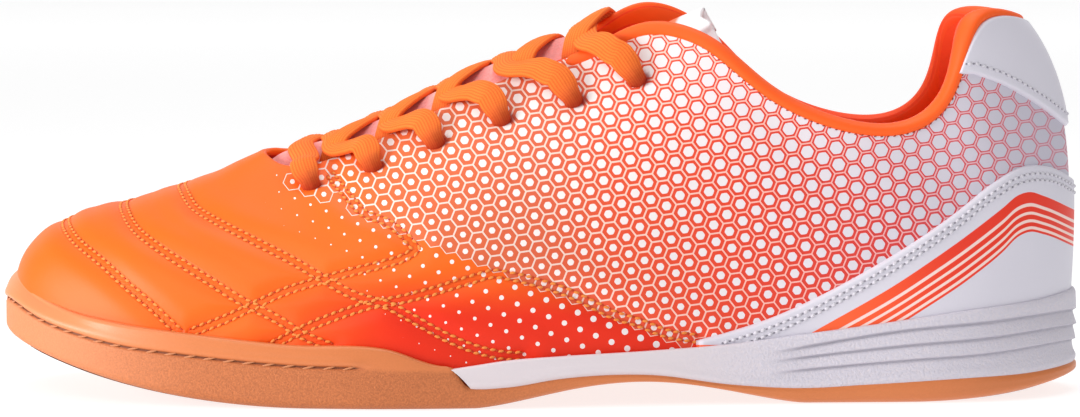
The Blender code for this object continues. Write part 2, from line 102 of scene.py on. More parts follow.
# Sections of the last from toe to heel: shares of length, half ball width and instep height,
# then mm, and degrees for the pitch
Section = namedtuple("Section", (
    "along", "lateral", "medial", "top_along", "top_lateral", "top_medial", "top_height", "medial_lift",
    "rise", "flare", "shoulder", "pitch"))
LAST = (
    Section(0.000, -0.155, 0.155, 0.240, -0.058, 0.058, 0.650, 0.0, 28.0, 0.0, 47.0, 22.0),
    Section(0.012, 0.214, 0.485, 0.243, 0.030, 0.136, 0.642, 1.0, 27.5, 0.0, 46.0, 22.0),
    Section(0.047, 0.485, 0.718, 0.251, 0.097, 0.194, 0.627, 2.5, 27.0, 0.0, 43.0, 22.0),
    Section(0.107, 0.718, 0.864, 0.265, 0.155, 0.233, 0.614, 3.5, 26.0, 0.5, 36.0, 23.0),
    Section(0.181, 0.864, 0.960, 0.293, 0.194, 0.262, 0.622, 4.0, 25.0, 1.0, 28.0, 26.0),
    Section(0.261, 0.951, 1.000, 0.335, 0.214, 0.272, 0.665, 4.0, 26.0, 1.5, 23.0, 31.0),
    Section(0.342, 1.000, 0.955, 0.384, 0.233, 0.282, 0.732, 4.0, 28.0, 2.0, 22.0, 36.0),
    Section(0.423, 0.980, 0.850, 0.440, 0.252, 0.291, 0.814, 3.5, 31.0, 2.0, 22.0, 41.0),
    Section(0.504, 0.913, 0.748, 0.497, 0.272, 0.301, 0.879, 3.5, 32.0, 2.0, 22.0, 46.0),
    Section(0.584, 0.835, 0.675, 0.549, 0.301, 0.320, 0.938, 4.0, 33.0, 2.0, 23.0, 51.0),
    Section(0.661, 0.767, 0.641, 0.598, 0.359, 0.359, 1.000, 4.5, 34.0, 2.0, 24.0, 58.0),
    Section(0.735, 0.728, 0.650, 0.656, 0.466, 0.456, 0.954, 2.0, 33.0, 2.0, 24.0, 68.0),
    Section(0.809, 0.709, 0.670, 0.714, 0.534, 0.515, 0.820, 0.0, 28.0, 2.0, 20.0, 74.0),
    Section(0.875, 0.670, 0.660, 0.798, 0.553, 0.534, 0.732, 0.0, 22.0, 2.0, 16.0, 76.0),
    Section(0.935, 0.553, 0.553, 0.864, 0.515, 0.500, 0.808, 0.0, 23.0, 2.0, 18.0, 78.0),
    Section(0.981, 0.311, 0.311, 0.897, 0.450, 0.440, 1.026, 0.0, 27.0, 2.0, 24.0, 56.0),
    Section(1.000, 0.000, 0.000, 0.942, 0.000, 0.000, HEEL_TOP, 0.0, 30.0, 2.0, 24.0, 46.0),
)
HEEL_SECTION = len(LAST) - 1
RING_SECTIONS = 2 * HEEL_SECTION
# Columns of the values that the ring of the last holds for each section
TOP_POINT = slice(2, 5)
RISE, FLARE, SHOULDER, PITCH = range(5, 9)

# Heights of the sole along its length, in mm: visible top line, floor under the foot, top of the rubber plate
SoleHeight = namedtuple("SoleHeight", "along rim floor plate")
SOLE = (
    SoleHeight(0.000, 31.0, 22.0, 20.5),
    SoleHeight(0.023, 26.8, 19.6, 18.6),
    SoleHeight(0.060, 23.0, 16.2, 15.0),
    SoleHeight(0.115, 20.2, 12.8, 11.0),
    SoleHeight(0.190, 17.9, 10.0, 8.0),
    SoleHeight(0.275, 15.7, 8.0, 6.4),
    SoleHeight(0.363, 14.8, 7.5, 6.2),
    SoleHeight(0.419, 10.4, 7.7, 6.2),
    SoleHeight(0.437, 11.0, 7.9, 5.1),
    SoleHeight(0.470, 12.3, 8.3, 5.2),
    SoleHeight(0.520, 13.2, 9.2, 7.2),
    SoleHeight(0.600, 14.2, 11.0, 7.7),
    SoleHeight(0.672, 15.6, 12.8, 4.9),
    SoleHeight(0.735, 17.9, 14.6, 3.8),
    SoleHeight(0.795, 20.1, 16.2, 4.6),
    SoleHeight(0.890, 23.8, 18.2, 6.0),
    SoleHeight(0.950, 25.4, 19.2, 6.6),
    SoleHeight(1.000, 27.2, 20.0, 7.7),
)

# Upper edge of the heel counter and lower edge of the heel tab, seen from the side
Edge = namedtuple("Edge", "along height")
COUNTER_EDGE = (
    Edge(0.622, 14.9),
    Edge(0.712, 22.5),
    Edge(0.802, 35.3),
    Edge(0.879, 49.3),
    Edge(0.910, 56.0),
    Edge(0.938, 60.0),
    Edge(0.965, 59.8),
    Edge(1.000, 54.8),
)
TAB_EDGE = (
    Edge(0.893, 84.2),
    Edge(0.921, 81.2),
    Edge(0.956, 75.7),
    Edge(1.000, 67.0),
)
COUNTER_START = 9.75
TAB_START = 14.3

# Eyelets: their sections, their place on the wall, and how far the open hole, painted as dark shade, lies
# behind its strand
EYELET_SECTIONS = (4.55, 5.55, 6.5, 7.45, 8.5, 9.5)
EYELET_ROW = 0.82
HOLE_LAG = 0.12
HOLE_ROW = 0.808

# Where the collar's padding starts: sections from the toe, and shares of the wall's height
PAD_SECTION = 10.3
PAD_SECTION_RUN = 1.5
PAD_SHARE = 0.55
PAD_SHARE_RUN = 0.4

# The photo's viewpoint: its frame in pixels, the size of a pixel at the shoe's middle, and the eye
PHOTO_WIDTH = 1080
PHOTO_HEIGHT = 417
PIXEL = 0.2654
EYE_DISTANCE = 1000.0
EYE_ELEVATION = math.radians(3.7)
AXIS_LEVEL = 52.0
AXIS_ROW = 192.4
AXIS_COLUMN = 540.0
SENSOR = 36.0

# The toe's ridge lies a little to the inner side, in mm
RIDGE_X = (TOE_X, -74.0, HEEL_X)
RIDGE_Y = (8.0, 3.0, 0.0)

# Step of a slope taken by difference, rounds of halving in a search, least length of a vector and of a step
FINE_STEP = 1e-3
HALVINGS = 40
LEAST_LENGTH = 1e-12
LEAST_STEP = 1e-6


def ring_spline(knots):
    """Return the periodic cubic through evenly spaced knots, as a function of the knot number."""
    count = len(knots)
    identity = np.eye(count)
    system = 4.0 * identity + np.roll(identity, 1, axis=1) + np.roll(identity, -1, axis=1)
    slopes = np.linalg.solve(system, 3.0 * (np.roll(knots, -1, axis=0) - np.roll(knots, 1, axis=0)))

    def value(place):
        place = np.asarray(place, dtype=float)
        first = np.floor(place).astype(int)
        part = (place - first)[..., None]
        start = first % count
        end = (first + 1) % count
        rise = knots[end] - knots[start]
        bend = 3.0 * rise - 2.0 * slopes[start] - slopes[end]
        twist = slopes[start] + slopes[end] - 2.0 * rise
        return knots[start] + part * (slopes[start] + part * (bend + part * twist))

    return value


def smooth_between(x, places, values):
    """Return the cubic through a table's rows, each slope taken from the rows beside it."""
    places = np.asarray(places, dtype=float)
    values = np.asarray(values, dtype=float)
    slopes = np.gradient(values, places)
    x = np.clip(x, places[0], places[-1])
    row = np.clip(np.searchsorted(places, x) - 1, 0, len(places) - 2)
    span = places[row + 1] - places[row]
    part = (x - places[row]) / span
    rise = values[row + 1] - values[row]
    start = slopes[row] * span
    end = slopes[row + 1] * span
    bend = 3.0 * rise - 2.0 * start - end
    twist = start + end - 2.0 * rise
    return values[row] + part * (start + part * (bend + part * twist))


def read_table(table, x):
    """Return the smooth value at a place in a table of places and values."""
    places, values = np.array(table).T
    return smooth_between(x, places, values)


def soft_step(value):
    """Return a smooth ramp from 0 to 1."""
    value = np.clip(value, 0.0, 1.0)
    return value * value * (3.0 - 2.0 * value)


def part_of(value, first, last):
    """Return how far a value has come from a first to a last value, from 0 to 1."""
    return np.clip((value - first) / (last - first), 0.0, 1.0)


def bell(value):
    """Return a soft bump of height 1 at zero."""
    return np.exp(-np.square(value))


def along_to_x(along):
    """Turn a share of the length into a place along X."""
    return TOE_X + np.asarray(along) * LENGTH


def last_ring():
    """Return the last's values section by section, round the outer side to the heel and back."""
    rows = []
    for section in LAST[:-1]:
        rows.append((section, -section.lateral, -section.top_lateral, 0.0))
    for section in LAST[:0:-1]:
        rows.append((section, section.medial, section.top_medial, section.medial_lift))
    knots = []
    for section, width, top_width, lift in rows:
        knots.append((
            along_to_x(section.along),
            width * HALF_BALL,
            along_to_x(section.top_along),
            top_width * HALF_BALL,
            section.top_height * INSTEP_HEIGHT + lift,
            section.rise,
            section.flare,
            section.shoulder,
            math.radians(section.pitch),
        ))
    return ring_spline(np.array(knots))


RING = last_ring()
SOLE_PLACES = along_to_x([row.along for row in SOLE])


def ground_height(x):
    """Return the height of the sole's underside over the ground."""
    toe = np.clip(FLAT_TOE_SIDE - x, 0.0, None) / (FLAT_TOE_SIDE - TOE_X)
    arch = np.clip((x - ARCH_FRONT) / (ARCH_BACK - ARCH_FRONT), 0.0, 1.0)
    heel = np.clip(x - FLAT_HEEL_SIDE, 0.0, None) / (HEEL_X - FLAT_HEEL_SIDE)
    vault = np.abs(np.sin(math.pi * arch))
    return TOE_SPRING * toe**2 + ARCH_HEIGHT * vault**ARCH_FULLNESS + HEEL_LIFT * heel**2


def rim_height(x):
    """Return the height of the sole's visible top line."""
    return smooth_between(x, SOLE_PLACES, [row.rim for row in SOLE])


def floor_height(x):
    """Return the height of the floor inside the sole."""
    return smooth_between(x, SOLE_PLACES, [row.floor for row in SOLE])


def plate_height(x):
    """Return the height of the rubber plate's top under the midsole."""
    return smooth_between(x, SOLE_PLACES, [row.plate for row in SOLE])


def edge_line(table):
    """Return a table's edge as a height over X."""
    places = along_to_x([row.along for row in table])
    heights = [row.height for row in table]
    return lambda x: smooth_between(x, places, heights)


def outline(place, inset):
    """Return the sole's plan line, moved inwards by an inset, and its outward direction."""
    point = RING(place)[..., :2]
    step = RING(place + FINE_STEP)[..., :2] - RING(place - FINE_STEP)[..., :2]
    outward = np.stack([step[..., 1], -step[..., 0]], axis=-1)
    outward /= np.linalg.norm(outward, axis=-1, keepdims=True)
    return point - np.asarray(inset)[..., None] * outward, outward


def stack(plan, height):
    """Join plan points and heights into points in space."""
    return np.concatenate([plan, np.broadcast_to(height, plan.shape[:-1])[..., None]], axis=-1)


def upper_skin(place, share):
    """Return the outer face of the upper: place runs round the last, share from the sole to the top edge."""
    share = np.asarray(share, dtype=float)[..., None]
    values = RING(place)
    plan, outward = outline(place, UPPER_INSET)
    foot = stack(plan, floor_height(plan[..., 0]) + GAP)
    top = values[..., TOP_POINT]
    run = foot[..., :2] - top[..., :2]
    run = run / np.linalg.norm(run, axis=-1, keepdims=True)
    wall = foot + stack(values[..., FLARE, None] * outward, values[..., RISE])
    reach = values[..., SHOULDER]
    pitch = values[..., PITCH]
    brow = top + stack((reach * np.cos(pitch))[..., None] * run, -reach * np.sin(pitch))
    rest = 1.0 - share
    return rest**3 * foot + 3 * rest**2 * share * wall + 3 * rest * share**2 * brow + share**3 * top


def unit(vectors):
    """Return vectors at length 1."""
    return vectors / np.maximum(np.linalg.norm(vectors, axis=-1, keepdims=True), LEAST_LENGTH)


def upper_frame(place, share):
    """Return the upper's outward normal and its direction towards the top edge."""
    round_step = upper_skin(place + FINE_STEP, share) - upper_skin(place - FINE_STEP, share)
    up_step = upper_skin(place, share + FINE_STEP) - upper_skin(place, share - FINE_STEP)
    return unit(np.cross(round_step, up_step)), unit(up_step)


def upper_offset(place, share, distance):
    """Return the upper's skin moved outwards by a distance along its own normal."""
    place = np.asarray(place, dtype=float)
    share = np.asarray(share, dtype=float)
    normal, _ = upper_frame(place, share)
    return upper_skin(place, share) + np.asarray(distance, dtype=float)[..., None] * normal


def whole_ring(across):
    """Return places once round the last, starting at the heel."""
    return HEEL_SECTION + across * RING_SECTIONS


def round_heel(start, across):
    """Return places from a start on the outer side, round the heel, to the same place on the inner side."""
    return start + across * (RING_SECTIONS - 2.0 * start)


def from_toe(place):
    """Return how many sections a place lies from the toe, on either side."""
    around = np.mod(place, RING_SECTIONS)
    return np.minimum(around, RING_SECTIONS - around)


def wall_thickness(place, share):
    """Return the upper's wall: leather all over, with padding at the collar."""
    round_collar = soft_step((from_toe(place) - PAD_SECTION) / PAD_SECTION_RUN)
    near_edge = soft_step((share - PAD_SHARE) / PAD_SHARE_RUN)
    return WALL + COLLAR_PAD * round_collar * near_edge


def share_at(place, line):
    """Find where each column of the upper crosses a line given as a height over X."""
    low = np.zeros_like(place)
    high = np.ones_like(place)
    for _ in range(HALVINGS):
        middle = (low + high) / 2.0
        point = upper_skin(place, middle)
        below = point[..., 2] < line(point[..., 0])
        low = np.where(below, middle, low)
        high = np.where(below, high, middle)
    return high


def section_at(x):
    """Find the section number whose outer line stands at a place along X."""
    low = 0.0
    high = float(HEEL_SECTION)
    for _ in range(HALVINGS):
        middle = (low + high) / 2.0
        if RING(middle)[0] < x:
            low = middle
        else:
            high = middle
    return high


def photo_place(points):
    """Return where points appear in the photo, as columns and rows of its frame."""
    sine = math.sin(EYE_ELEVATION)
    cosine = math.cos(EYE_ELEVATION)
    height = points[..., 2] - AXIS_LEVEL
    depth = EYE_DISTANCE + points[..., 1] * cosine - height * sine
    up = height * cosine + points[..., 1] * sine
    column = AXIS_COLUMN + points[..., 0] * EYE_DISTANCE / depth / PIXEL
    row = AXIS_ROW - up * EYE_DISTANCE / depth / PIXEL
    return np.stack([column, row], axis=-1)


def outer_side(points):
    """Mirror points of the inner side of the foot to the outer side, across the ridge of the toe."""
    ridge = np.interp(points[..., 0], RIDGE_X, RIDGE_Y)
    mirrored = points.copy()
    mirrored[..., 1] = ridge - np.abs(points[..., 1] - ridge)
    return mirrored


# A fine net over the outer side of the upper, to find places that were read in the photo
NET_LAST_PLACE = 15.9
NET_LOWEST = 0.02
NET_COLUMNS = 637
NET_ROWS = 197
NET_TURNED_AWAY = 0.2
NET_PLACES, NET_SHARES = np.meshgrid(
    np.linspace(0.0, NET_LAST_PLACE, NET_COLUMNS), np.linspace(NET_LOWEST, 1.0, NET_ROWS))
NET_SEEN = photo_place(upper_skin(NET_PLACES, NET_SHARES))
NET_FACING = upper_frame(NET_PLACES, NET_SHARES)[0][..., 1] < NET_TURNED_AWAY


def on_upper(places_seen):
    """Find place and share on the outer side of the upper for places read in the photo."""
    found = []
    for seen in places_seen:
        far = np.sum(np.square(NET_SEEN - np.array(seen)), axis=-1)
        nearest = np.argmin(np.where(NET_FACING, far, np.inf))
        found.append((NET_PLACES.flat[nearest], NET_SHARES.flat[nearest]))
    return np.array(found)


def resample(points, spacing, between):
    """Return points about a spacing apart on a way through given points, filled in by a function."""
    steps = np.linalg.norm(np.diff(points, axis=0), axis=1)
    places = np.concatenate([[0.0], np.cumsum(np.maximum(steps, LEAST_STEP))])
    even = np.linspace(0.0, places[-1], max(2, int(round(places[-1] / spacing)) + 1))
    return np.stack([between(even, places, column) for column in points.T], axis=-1)


def place_points(mesh, points):
    """Move a mesh's points to places in mm."""
    mesh.vertices.foreach_set("co", (points * MM).ravel())


def mapped_mesh(name, columns, rows, surface):
    """Make a mesh from a grid that a surface function places, both grid directions running from 0 to 1."""
    bm = bmesh.new()
    bmesh.ops.create_grid(bm, x_segments=columns, y_segments=rows, size=0.5)
    mesh = bpy.data.meshes.new(name)
    bm.to_mesh(mesh)
    bm.free()
    flat = np.empty(3 * len(mesh.vertices))
    mesh.vertices.foreach_get("co", flat)
    across, up = flat.reshape(-1, 3)[:, :2].T + 0.5
    points = surface(across, up)
    place_points(mesh, points)
    return mesh, across, up, points


def corner_points(mesh):
    """Return the number of the point at each face corner of a mesh."""
    corners = np.empty(len(mesh.loops), dtype=np.int32)
    mesh.loops.foreach_get("vertex_index", corners)
    return corners


def set_uv(mesh, values):
    """Give a mesh one UV map from a pair of values for each of its points."""
    layer = mesh.uv_layers.new(name="UVMap")
    layer.data.foreach_set("uv", np.ascontiguousarray(values[corner_points(mesh)], dtype=np.float32).ravel())


def set_number(mesh, name, values):
    """Give a mesh one number for each of its points."""
    layer = mesh.attributes.new(name, "FLOAT", "POINT")
    layer.data.foreach_set("value", np.ascontiguousarray(values, dtype=np.float32))


def add_piece(name, mesh, materials, nodes=(), slot=None, merge=None, outward=False):
    """Turn a mesh into a piece of the shoe that rides with the frame and stands for some of its nodes."""
    if merge or outward:
        bm = bmesh.new()
        bm.from_mesh(mesh)
        if merge:
            bmesh.ops.remove_doubles(bm, verts=bm.verts[:], dist=merge * MM)
        if outward:
            bmesh.ops.recalc_face_normals(bm, faces=bm.faces[:])
        bm.to_mesh(mesh)
        bm.free()
    mesh.shade_smooth()
    for material in materials:
        mesh.materials.append(material)
    piece = bpy.data.objects.new(name, mesh)
    bpy.context.scene.collection.objects.link(piece)
    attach(piece, "root")
    if nodes:
        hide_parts(*nodes)
    return piece


class Wire:
    """An output socket of a material's nodes, with arithmetic that adds Math nodes."""

    def __init__(self, tree, socket=None):
        self.tree = tree
        self.socket = socket

    def node(self, kind, settings=None, inputs=None, output=0):
        """Add a node with settings and with values or wires for its sockets, and return one output."""
        made = self.tree.nodes.new(kind)
        for name, value in (settings or {}).items():
            if name == "stops":
                self.set_stops(made.color_ramp, value)
            else:
                setattr(made, name, value)
        for name, value in (inputs or {}).items():
            if isinstance(value, Wire):
                self.tree.links.new(value.socket, made.inputs[name])
            else:
                made.inputs[name].default_value = value
        return Wire(self.tree, made.outputs[output])

    @staticmethod
    def set_stops(ramp, stops):
        """Place a colour ramp's stops, each a position and a grey value or a colour."""
        while len(ramp.elements) < len(stops):
            ramp.elements.new(1.0)
        for element, (position, value) in zip(ramp.elements, stops):
            element.position = position
            element.color = (*value, 1.0) if isinstance(value, tuple) else (value, value, value, 1.0)

    def maths(self, operation, first, second=0.0):
        """Return the result of one Math node."""
        return self.node("ShaderNodeMath", {"operation": operation}, {0: first, 1: second})

    def __add__(self, other):
        return self.maths("ADD", self, other)

    __radd__ = __add__

    def __sub__(self, other):
        return self.maths("SUBTRACT", self, other)

    def __rsub__(self, other):
        return self.maths("SUBTRACT", other, self)

    def __mul__(self, other):
        return self.maths("MULTIPLY", self, other)

    __rmul__ = __mul__

    def __truediv__(self, other):
        return self.maths("DIVIDE", self, other)

    def __lt__(self, other):
        return self.maths("LESS_THAN", self, other)

    def __gt__(self, other):
        return self.maths("GREATER_THAN", self, other)

    def __abs__(self):
        return self.maths("ABSOLUTE", self)

    def __round__(self):
        return self.maths("ROUND", self)

    def __pow__(self, other):
        return self.maths("POWER", self, other)

    def least(self, other):
        """Return the smaller of two values."""
        return self.maths("MINIMUM", self, other)

    def most(self, other):
        """Return the larger of two values."""
        return self.maths("MAXIMUM", self, other)

    def split(self):
        """Return the first two parts of a vector."""
        first = self.node("ShaderNodeSeparateXYZ", {}, {0: self})
        return first, Wire(self.tree, first.socket.node.outputs["Y"])

    def ramp(self, stops):
        """Return the colour or grey value of a ramp at this value."""
        return self.node("ShaderNodeValToRGB", {"stops": stops}, {"Fac": self})

    def fade(self, low, high):
        """Return a soft ramp from 0 at a low value to 1 at a high one."""
        return self.node("ShaderNodeMapRange", {"interpolation_type": "SMOOTHSTEP"},
                         {"Value": self, "From Min": low, "From Max": high})

    def mix(self, first, second):
        """Blend two colours, with this value as the second one's share."""
        return self.node("ShaderNodeMix", {"data_type": "RGBA"}, {"Factor": self, 6: first, 7: second}, 2)

    def number(self, name):
        """Return a number that the mesh holds for each point."""
        return self.node("ShaderNodeAttribute", {"attribute_name": name}, output="Fac")

    def uv(self):
        """Return the two coordinates of the mesh's UV map."""
        return self.node("ShaderNodeUVMap", {"uv_map": "UVMap"}).split()

    def noise(self, place, scale, detail=2.0, roughness=0.5):
        """Return soft noise from 0 to 1."""
        return self.node("ShaderNodeTexNoise", {}, {
            "Vector": place, "Scale": scale, "Detail": detail, "Roughness": roughness})

    def cells(self, place, scale):
        """Return the distance to the nearest middle of a cell pattern."""
        return self.node("ShaderNodeTexVoronoi", {}, {"Vector": place, "Scale": scale}, "Distance")

    def bump(self, height, strength, distance, below=None):
        """Return a normal that a height field tilts, with its depth in mm, on top of another normal."""
        inputs = {"Height": height, "Strength": strength, "Distance": distance * MM}
        if below is not None:
            inputs["Normal"] = below
        return self.node("ShaderNodeBump", {}, inputs)


def new_finish(name):
    """Start a material and return it with a wire into its nodes and its object coordinates."""
    material = bpy.data.materials.new(name)
    material.use_nodes = True
    start = Wire(material.node_tree)
    place = start.node("ShaderNodeTexCoord", output="Object")
    return material, start, place


def set_finish(material, **sockets):
    """Set or link sockets of a material's surface shader."""
    shader = material.node_tree.nodes["Principled BSDF"]
    for name, value in sockets.items():
        socket = shader.inputs[name.replace("_", " ").title().replace("Ior", "IOR")]
        if isinstance(value, Wire):
            material.node_tree.links.new(value.socket, socket)
        else:
            socket.default_value = value
    return material


def paint(red, green, blue):
    """Turn display values from 0 to 255 into a linear colour, by the usual display curve."""
    values = []
    for value in (red, green, blue):
        part = value / 255.0
        values.append(part / 12.92 if part <= 0.04045 else ((part + 0.055) / 1.055) ** 2.4)
    return tuple(values)


def length_setting(name, description, length):
    """Return a setting for a length, given in mm."""
    return FloatProperty(name=name, description=description, default=length * MM, unit="LENGTH")


def colour_setting(name, description, *shade):
    """Return a setting for a colour, given in display values."""
    return FloatVectorProperty(name=name, description=description, subtype="COLOR", default=paint(*shade))


class ShoeSizes(bpy.types.PropertyGroup):
    """Sizes of the shoe's fine work."""
    cell_pitch: length_setting("Cell Pitch", "Distance between the middles of printed cells", 4.5)
    stitch_pitch: length_setting("Stitch Pitch", "Length of one stitch with its gap", 2.15)
    seam_gap: length_setting("Seam Gap", "Distance between the two rows of a double seam", 1.9)
    quilt_depth: length_setting("Quilt Depth", "How deep the seams pull into the vamp", 0.9)
    lace_width: length_setting("Lace Width", "Width of the flat lace", 7.2)
    lace_thickness: length_setting("Lace Thickness", "Thickness of the flat lace", 1.3)
    piping_radius: length_setting("Piping Radius", "Radius of the collar's rolled edge", 2.1)


class ShoeColours(bpy.types.PropertyGroup):
    """Colours of the shoe's materials."""
    orange: colour_setting("Orange", "Leather of the vamp", 251, 104, 16)
    deep_orange: colour_setting("Deep Orange", "Leather low on the side", 234, 42, 8)
    collar: colour_setting("Collar", "Piping and lining of the collar", 252, 76, 14)
    lace: colour_setting("Lace", "Flat lace", 252, 131, 48)
    coral: colour_setting("Coral", "Fabric of the tongue", 240, 128, 122)
    white: colour_setting("White", "White leather of the heel", 221, 218, 229)
    foam: colour_setting("Foam", "Midsole", 222, 212, 216)
    gum: colour_setting("Gum", "Rubber of the outsole", 216, 125, 70)


# Second colours of the materials and the colours of threads, as display values; those whose names speak of
# shade are painted shade, and the one that speaks of light is painted light
TINTS = {
    "furrow_and_shade": (206, 62, 14),
    "eyelet_hole_shade": (142, 16, 4),
    "lining": (246, 56, 6),
    "piping": (254, 100, 26),
    "tongue_pale": (250, 188, 186),
    "tongue_hole_shade": (206, 76, 78),
    "tongue_lining": (252, 112, 36),
    "tongue_tip": (246, 241, 244),
    "lace_groove_shade": (226, 82, 18),
    "lace_end_shade": (164, 24, 2),
    "white_cloud": (204, 200, 212),
    "stripe_front": (252, 94, 36),
    "stripe_back": (236, 46, 8),
    "stripe_gap": (250, 216, 207),
    "foam_stipple": (207, 203, 215),
    "foam_crevice_shade": (132, 129, 144),
    "gum_stipple_and_shade": (174, 97, 52),
    "gum_toe_painted_light": (238, 152, 104),
    "gum_groove_shade": (122, 60, 28),
    "paper_fibre": (150, 150, 151),
    "paper": (154, 154, 154),
    "orange_thread": (255, 148, 62),
    "white_thread": (224, 221, 230),
    "dark_thread": (164, 66, 52),
    "rim_thread": (208, 134, 88),
    "orange_hole": (216, 66, 14),
    "grey_hole": (156, 152, 164),
}


def tint(name, light=1.0):
    """Return one of the second colours for a shader socket, dimmed or not."""
    return (*paint(*[light * value for value in TINTS[name]]), 1.0)


def colour(name):
    """Return one of the shoe's colours for a shader socket."""
    return (*getattr(bpy.context.scene.shoe_colours, name), 1.0)


def size(name):
    """Return one of the shoe's sizes in mm."""
    return getattr(bpy.context.scene.shoe_sizes, name) / MM


# Double seams of the vamp, as columns and rows of the photo: three over the toe's ridge, two on each side
TOE_SEAMS = (
    ((179, 332), (149, 304), (126, 284), (99, 258), (78, 238), (69, 219)),
    ((331, 347), (305, 336), (275, 318), (241, 300), (207, 279), (179, 261), (149, 240), (129, 217),
     (125, 201)),
    ((523, 357), (506, 355), (474, 348), (445, 336), (409, 316), (385, 304), (360, 297), (321, 276),
     (298, 263), (264, 245), (230, 226), (207, 212), (190, 199), (187, 185)),
)
SIDE_SEAMS = (
    ((190, 332), (230, 316), (255, 304), (287, 290), (321, 279), (360, 269), (385, 262), (404, 257),
     (416, 249), (411, 241), (397, 228), (382, 219), (366, 213), (351, 199), (340, 186), (330, 172)),
    ((271, 346), (301, 330), (333, 316), (372, 304), (397, 299), (433, 290), (470, 279), (495, 274),
     (513, 276), (542, 284), (566, 292), (591, 304), (615, 315), (639, 323), (669, 334), (696, 339)),
)
# Rough size in mm of one section and of the full wall, to weigh places against shares, and a seam's step
NET_SCALE = np.array([18.0, 90.0])
PATH_STEP = 0.5


def seam_path(knots):
    """Return a smooth seam through places and shares on the upper."""
    return resample(knots * NET_SCALE, PATH_STEP, smooth_between) / NET_SCALE


def upper_seams():
    """Return the double seams of the vamp as lists of places and shares on the upper."""
    inner_side = (-1.0, 1.0)
    seams = []
    for seen in TOE_SEAMS:
        knots = on_upper(seen)
        knots[-1, 0] = 0.0
        seams.append(seam_path(np.concatenate([knots, knots[-2::-1] * inner_side])))
    for seen in SIDE_SEAMS:
        path = seam_path(on_upper(seen))
        seams += [path, path * inner_side]
    return seams


def distance_to(points, targets):
    """Return each point's distance to the nearest target."""
    tree = KDTree(len(targets))
    for index, target in enumerate(targets):
        tree.insert(target, index)
    tree.balance()
    return np.array([tree.find(point)[2] for point in points])


def eyelet_places():
    """Return the places of all eyelets round the upper."""
    near = np.array(EYELET_SECTIONS) + HOLE_LAG
    return np.concatenate([near, RING_SECTIONS - near])


# The upper's grid: columns round the last, then rows up the outside, over the top edge and down the inside
UPPER_COLUMNS = 640
OUTER_ROWS = 100
EDGE_ROWS = 6
INNER_ROWS = 34
INNER_LOWEST = 0.04
UPPER_ROWS = OUTER_ROWS + EDGE_ROWS + INNER_ROWS
OUTER_PART = OUTER_ROWS / UPPER_ROWS
EDGE_PART = (OUTER_ROWS + EDGE_ROWS) / UPPER_ROWS
# The quilting in mm: a seam's trough, the puff beside it, and a distance out of reach of every seam
TROUGH_WIDTH = 2.8
PUFF_PLACE = 6.0
PUFF_WIDTH = 3.2
PUFF_SHARE = 0.25
FAR_FROM_SEAM = 50.0
# The eyelets in mm: the dimple round one, and its hole painted as dark shade, with the sharpness of its edge
DIMPLE_DEPTH = 0.6
DIMPLE_WIDTH = 3.0
HOLE_RADIUS = 2.5
HOLE_SHARPNESS = 1.7
# How the toe's ridge moves up over columns of the photo where the leather faces up, and how its tip moves
# forward, in mm
RIDGE_TRIM = ((40, 0.0), (69, 0.6), (99, -0.3), (124, -0.5), (142, -1.3), (161, -1.2), (184, -0.6),
              (200, -1.3), (212, -1.3), (236, -0.5), (270, 0.0))
RIDGE_FACING = (0.72, 0.98)
TIP_PUSH = 1.6
TIP_PUSH_START = -108.0
TIP_PUSH_RUN = 20.0
TIP_PUSH_LEVEL = 36.0
TIP_PUSH_REACH = 15.0


def seam_pull(distance):
    """Return how far the leather is pulled in or puffed out at a distance from a seam."""
    puff = PUFF_SHARE * bell((distance - PUFF_PLACE) / PUFF_WIDTH)
    return size("quilt_depth") * (puff - bell(distance / TROUGH_WIDTH))


def toe_trim(points, normals):
    """Return how far the toe's leather moves to keep the photo's outline, in mm."""
    seen = photo_place(outer_side(points))
    upright = soft_step(part_of(normals[:, 2], *RIDGE_FACING))
    tip = soft_step((TIP_PUSH_START - points[:, 0]) / TIP_PUSH_RUN)
    move = np.zeros_like(points)
    move[:, 0] = -TIP_PUSH * tip * bell((points[:, 2] - TIP_PUSH_LEVEL) / TIP_PUSH_REACH)
    move[:, 2] = read_table(RIDGE_TRIM, seen[:, 0]) * upright
    return move


def shell_surface(across, up):
    """Return the plain shell of the upper: outside, rounded top edge and inside, from one grid."""
    place = whole_ring(across)
    outer = part_of(up, 0.0, OUTER_PART)
    turn = math.pi * part_of(up, OUTER_PART, EDGE_PART)
    inner = part_of(up, EDGE_PART, 1.0)
    share = np.where(inner > 0.0, 1.0 - inner * (1.0 - INNER_LOWEST), outer)
    wall = wall_thickness(place, share)
    normal, rise = upper_frame(place, np.minimum(share, 1.0 - FINE_STEP))
    depth = 0.5 * wall * (1.0 - np.cos(turn))
    points = upper_skin(place, share) - depth[:, None] * normal
    rolled = soft_step((from_toe(place) - ROLL_START) / ROLL_FADE)
    crest = 0.5 * np.minimum(wall, WALL) * (1.0 - ROLL_COVERS * rolled)
    return points + (crest * np.sin(turn))[:, None] * rise


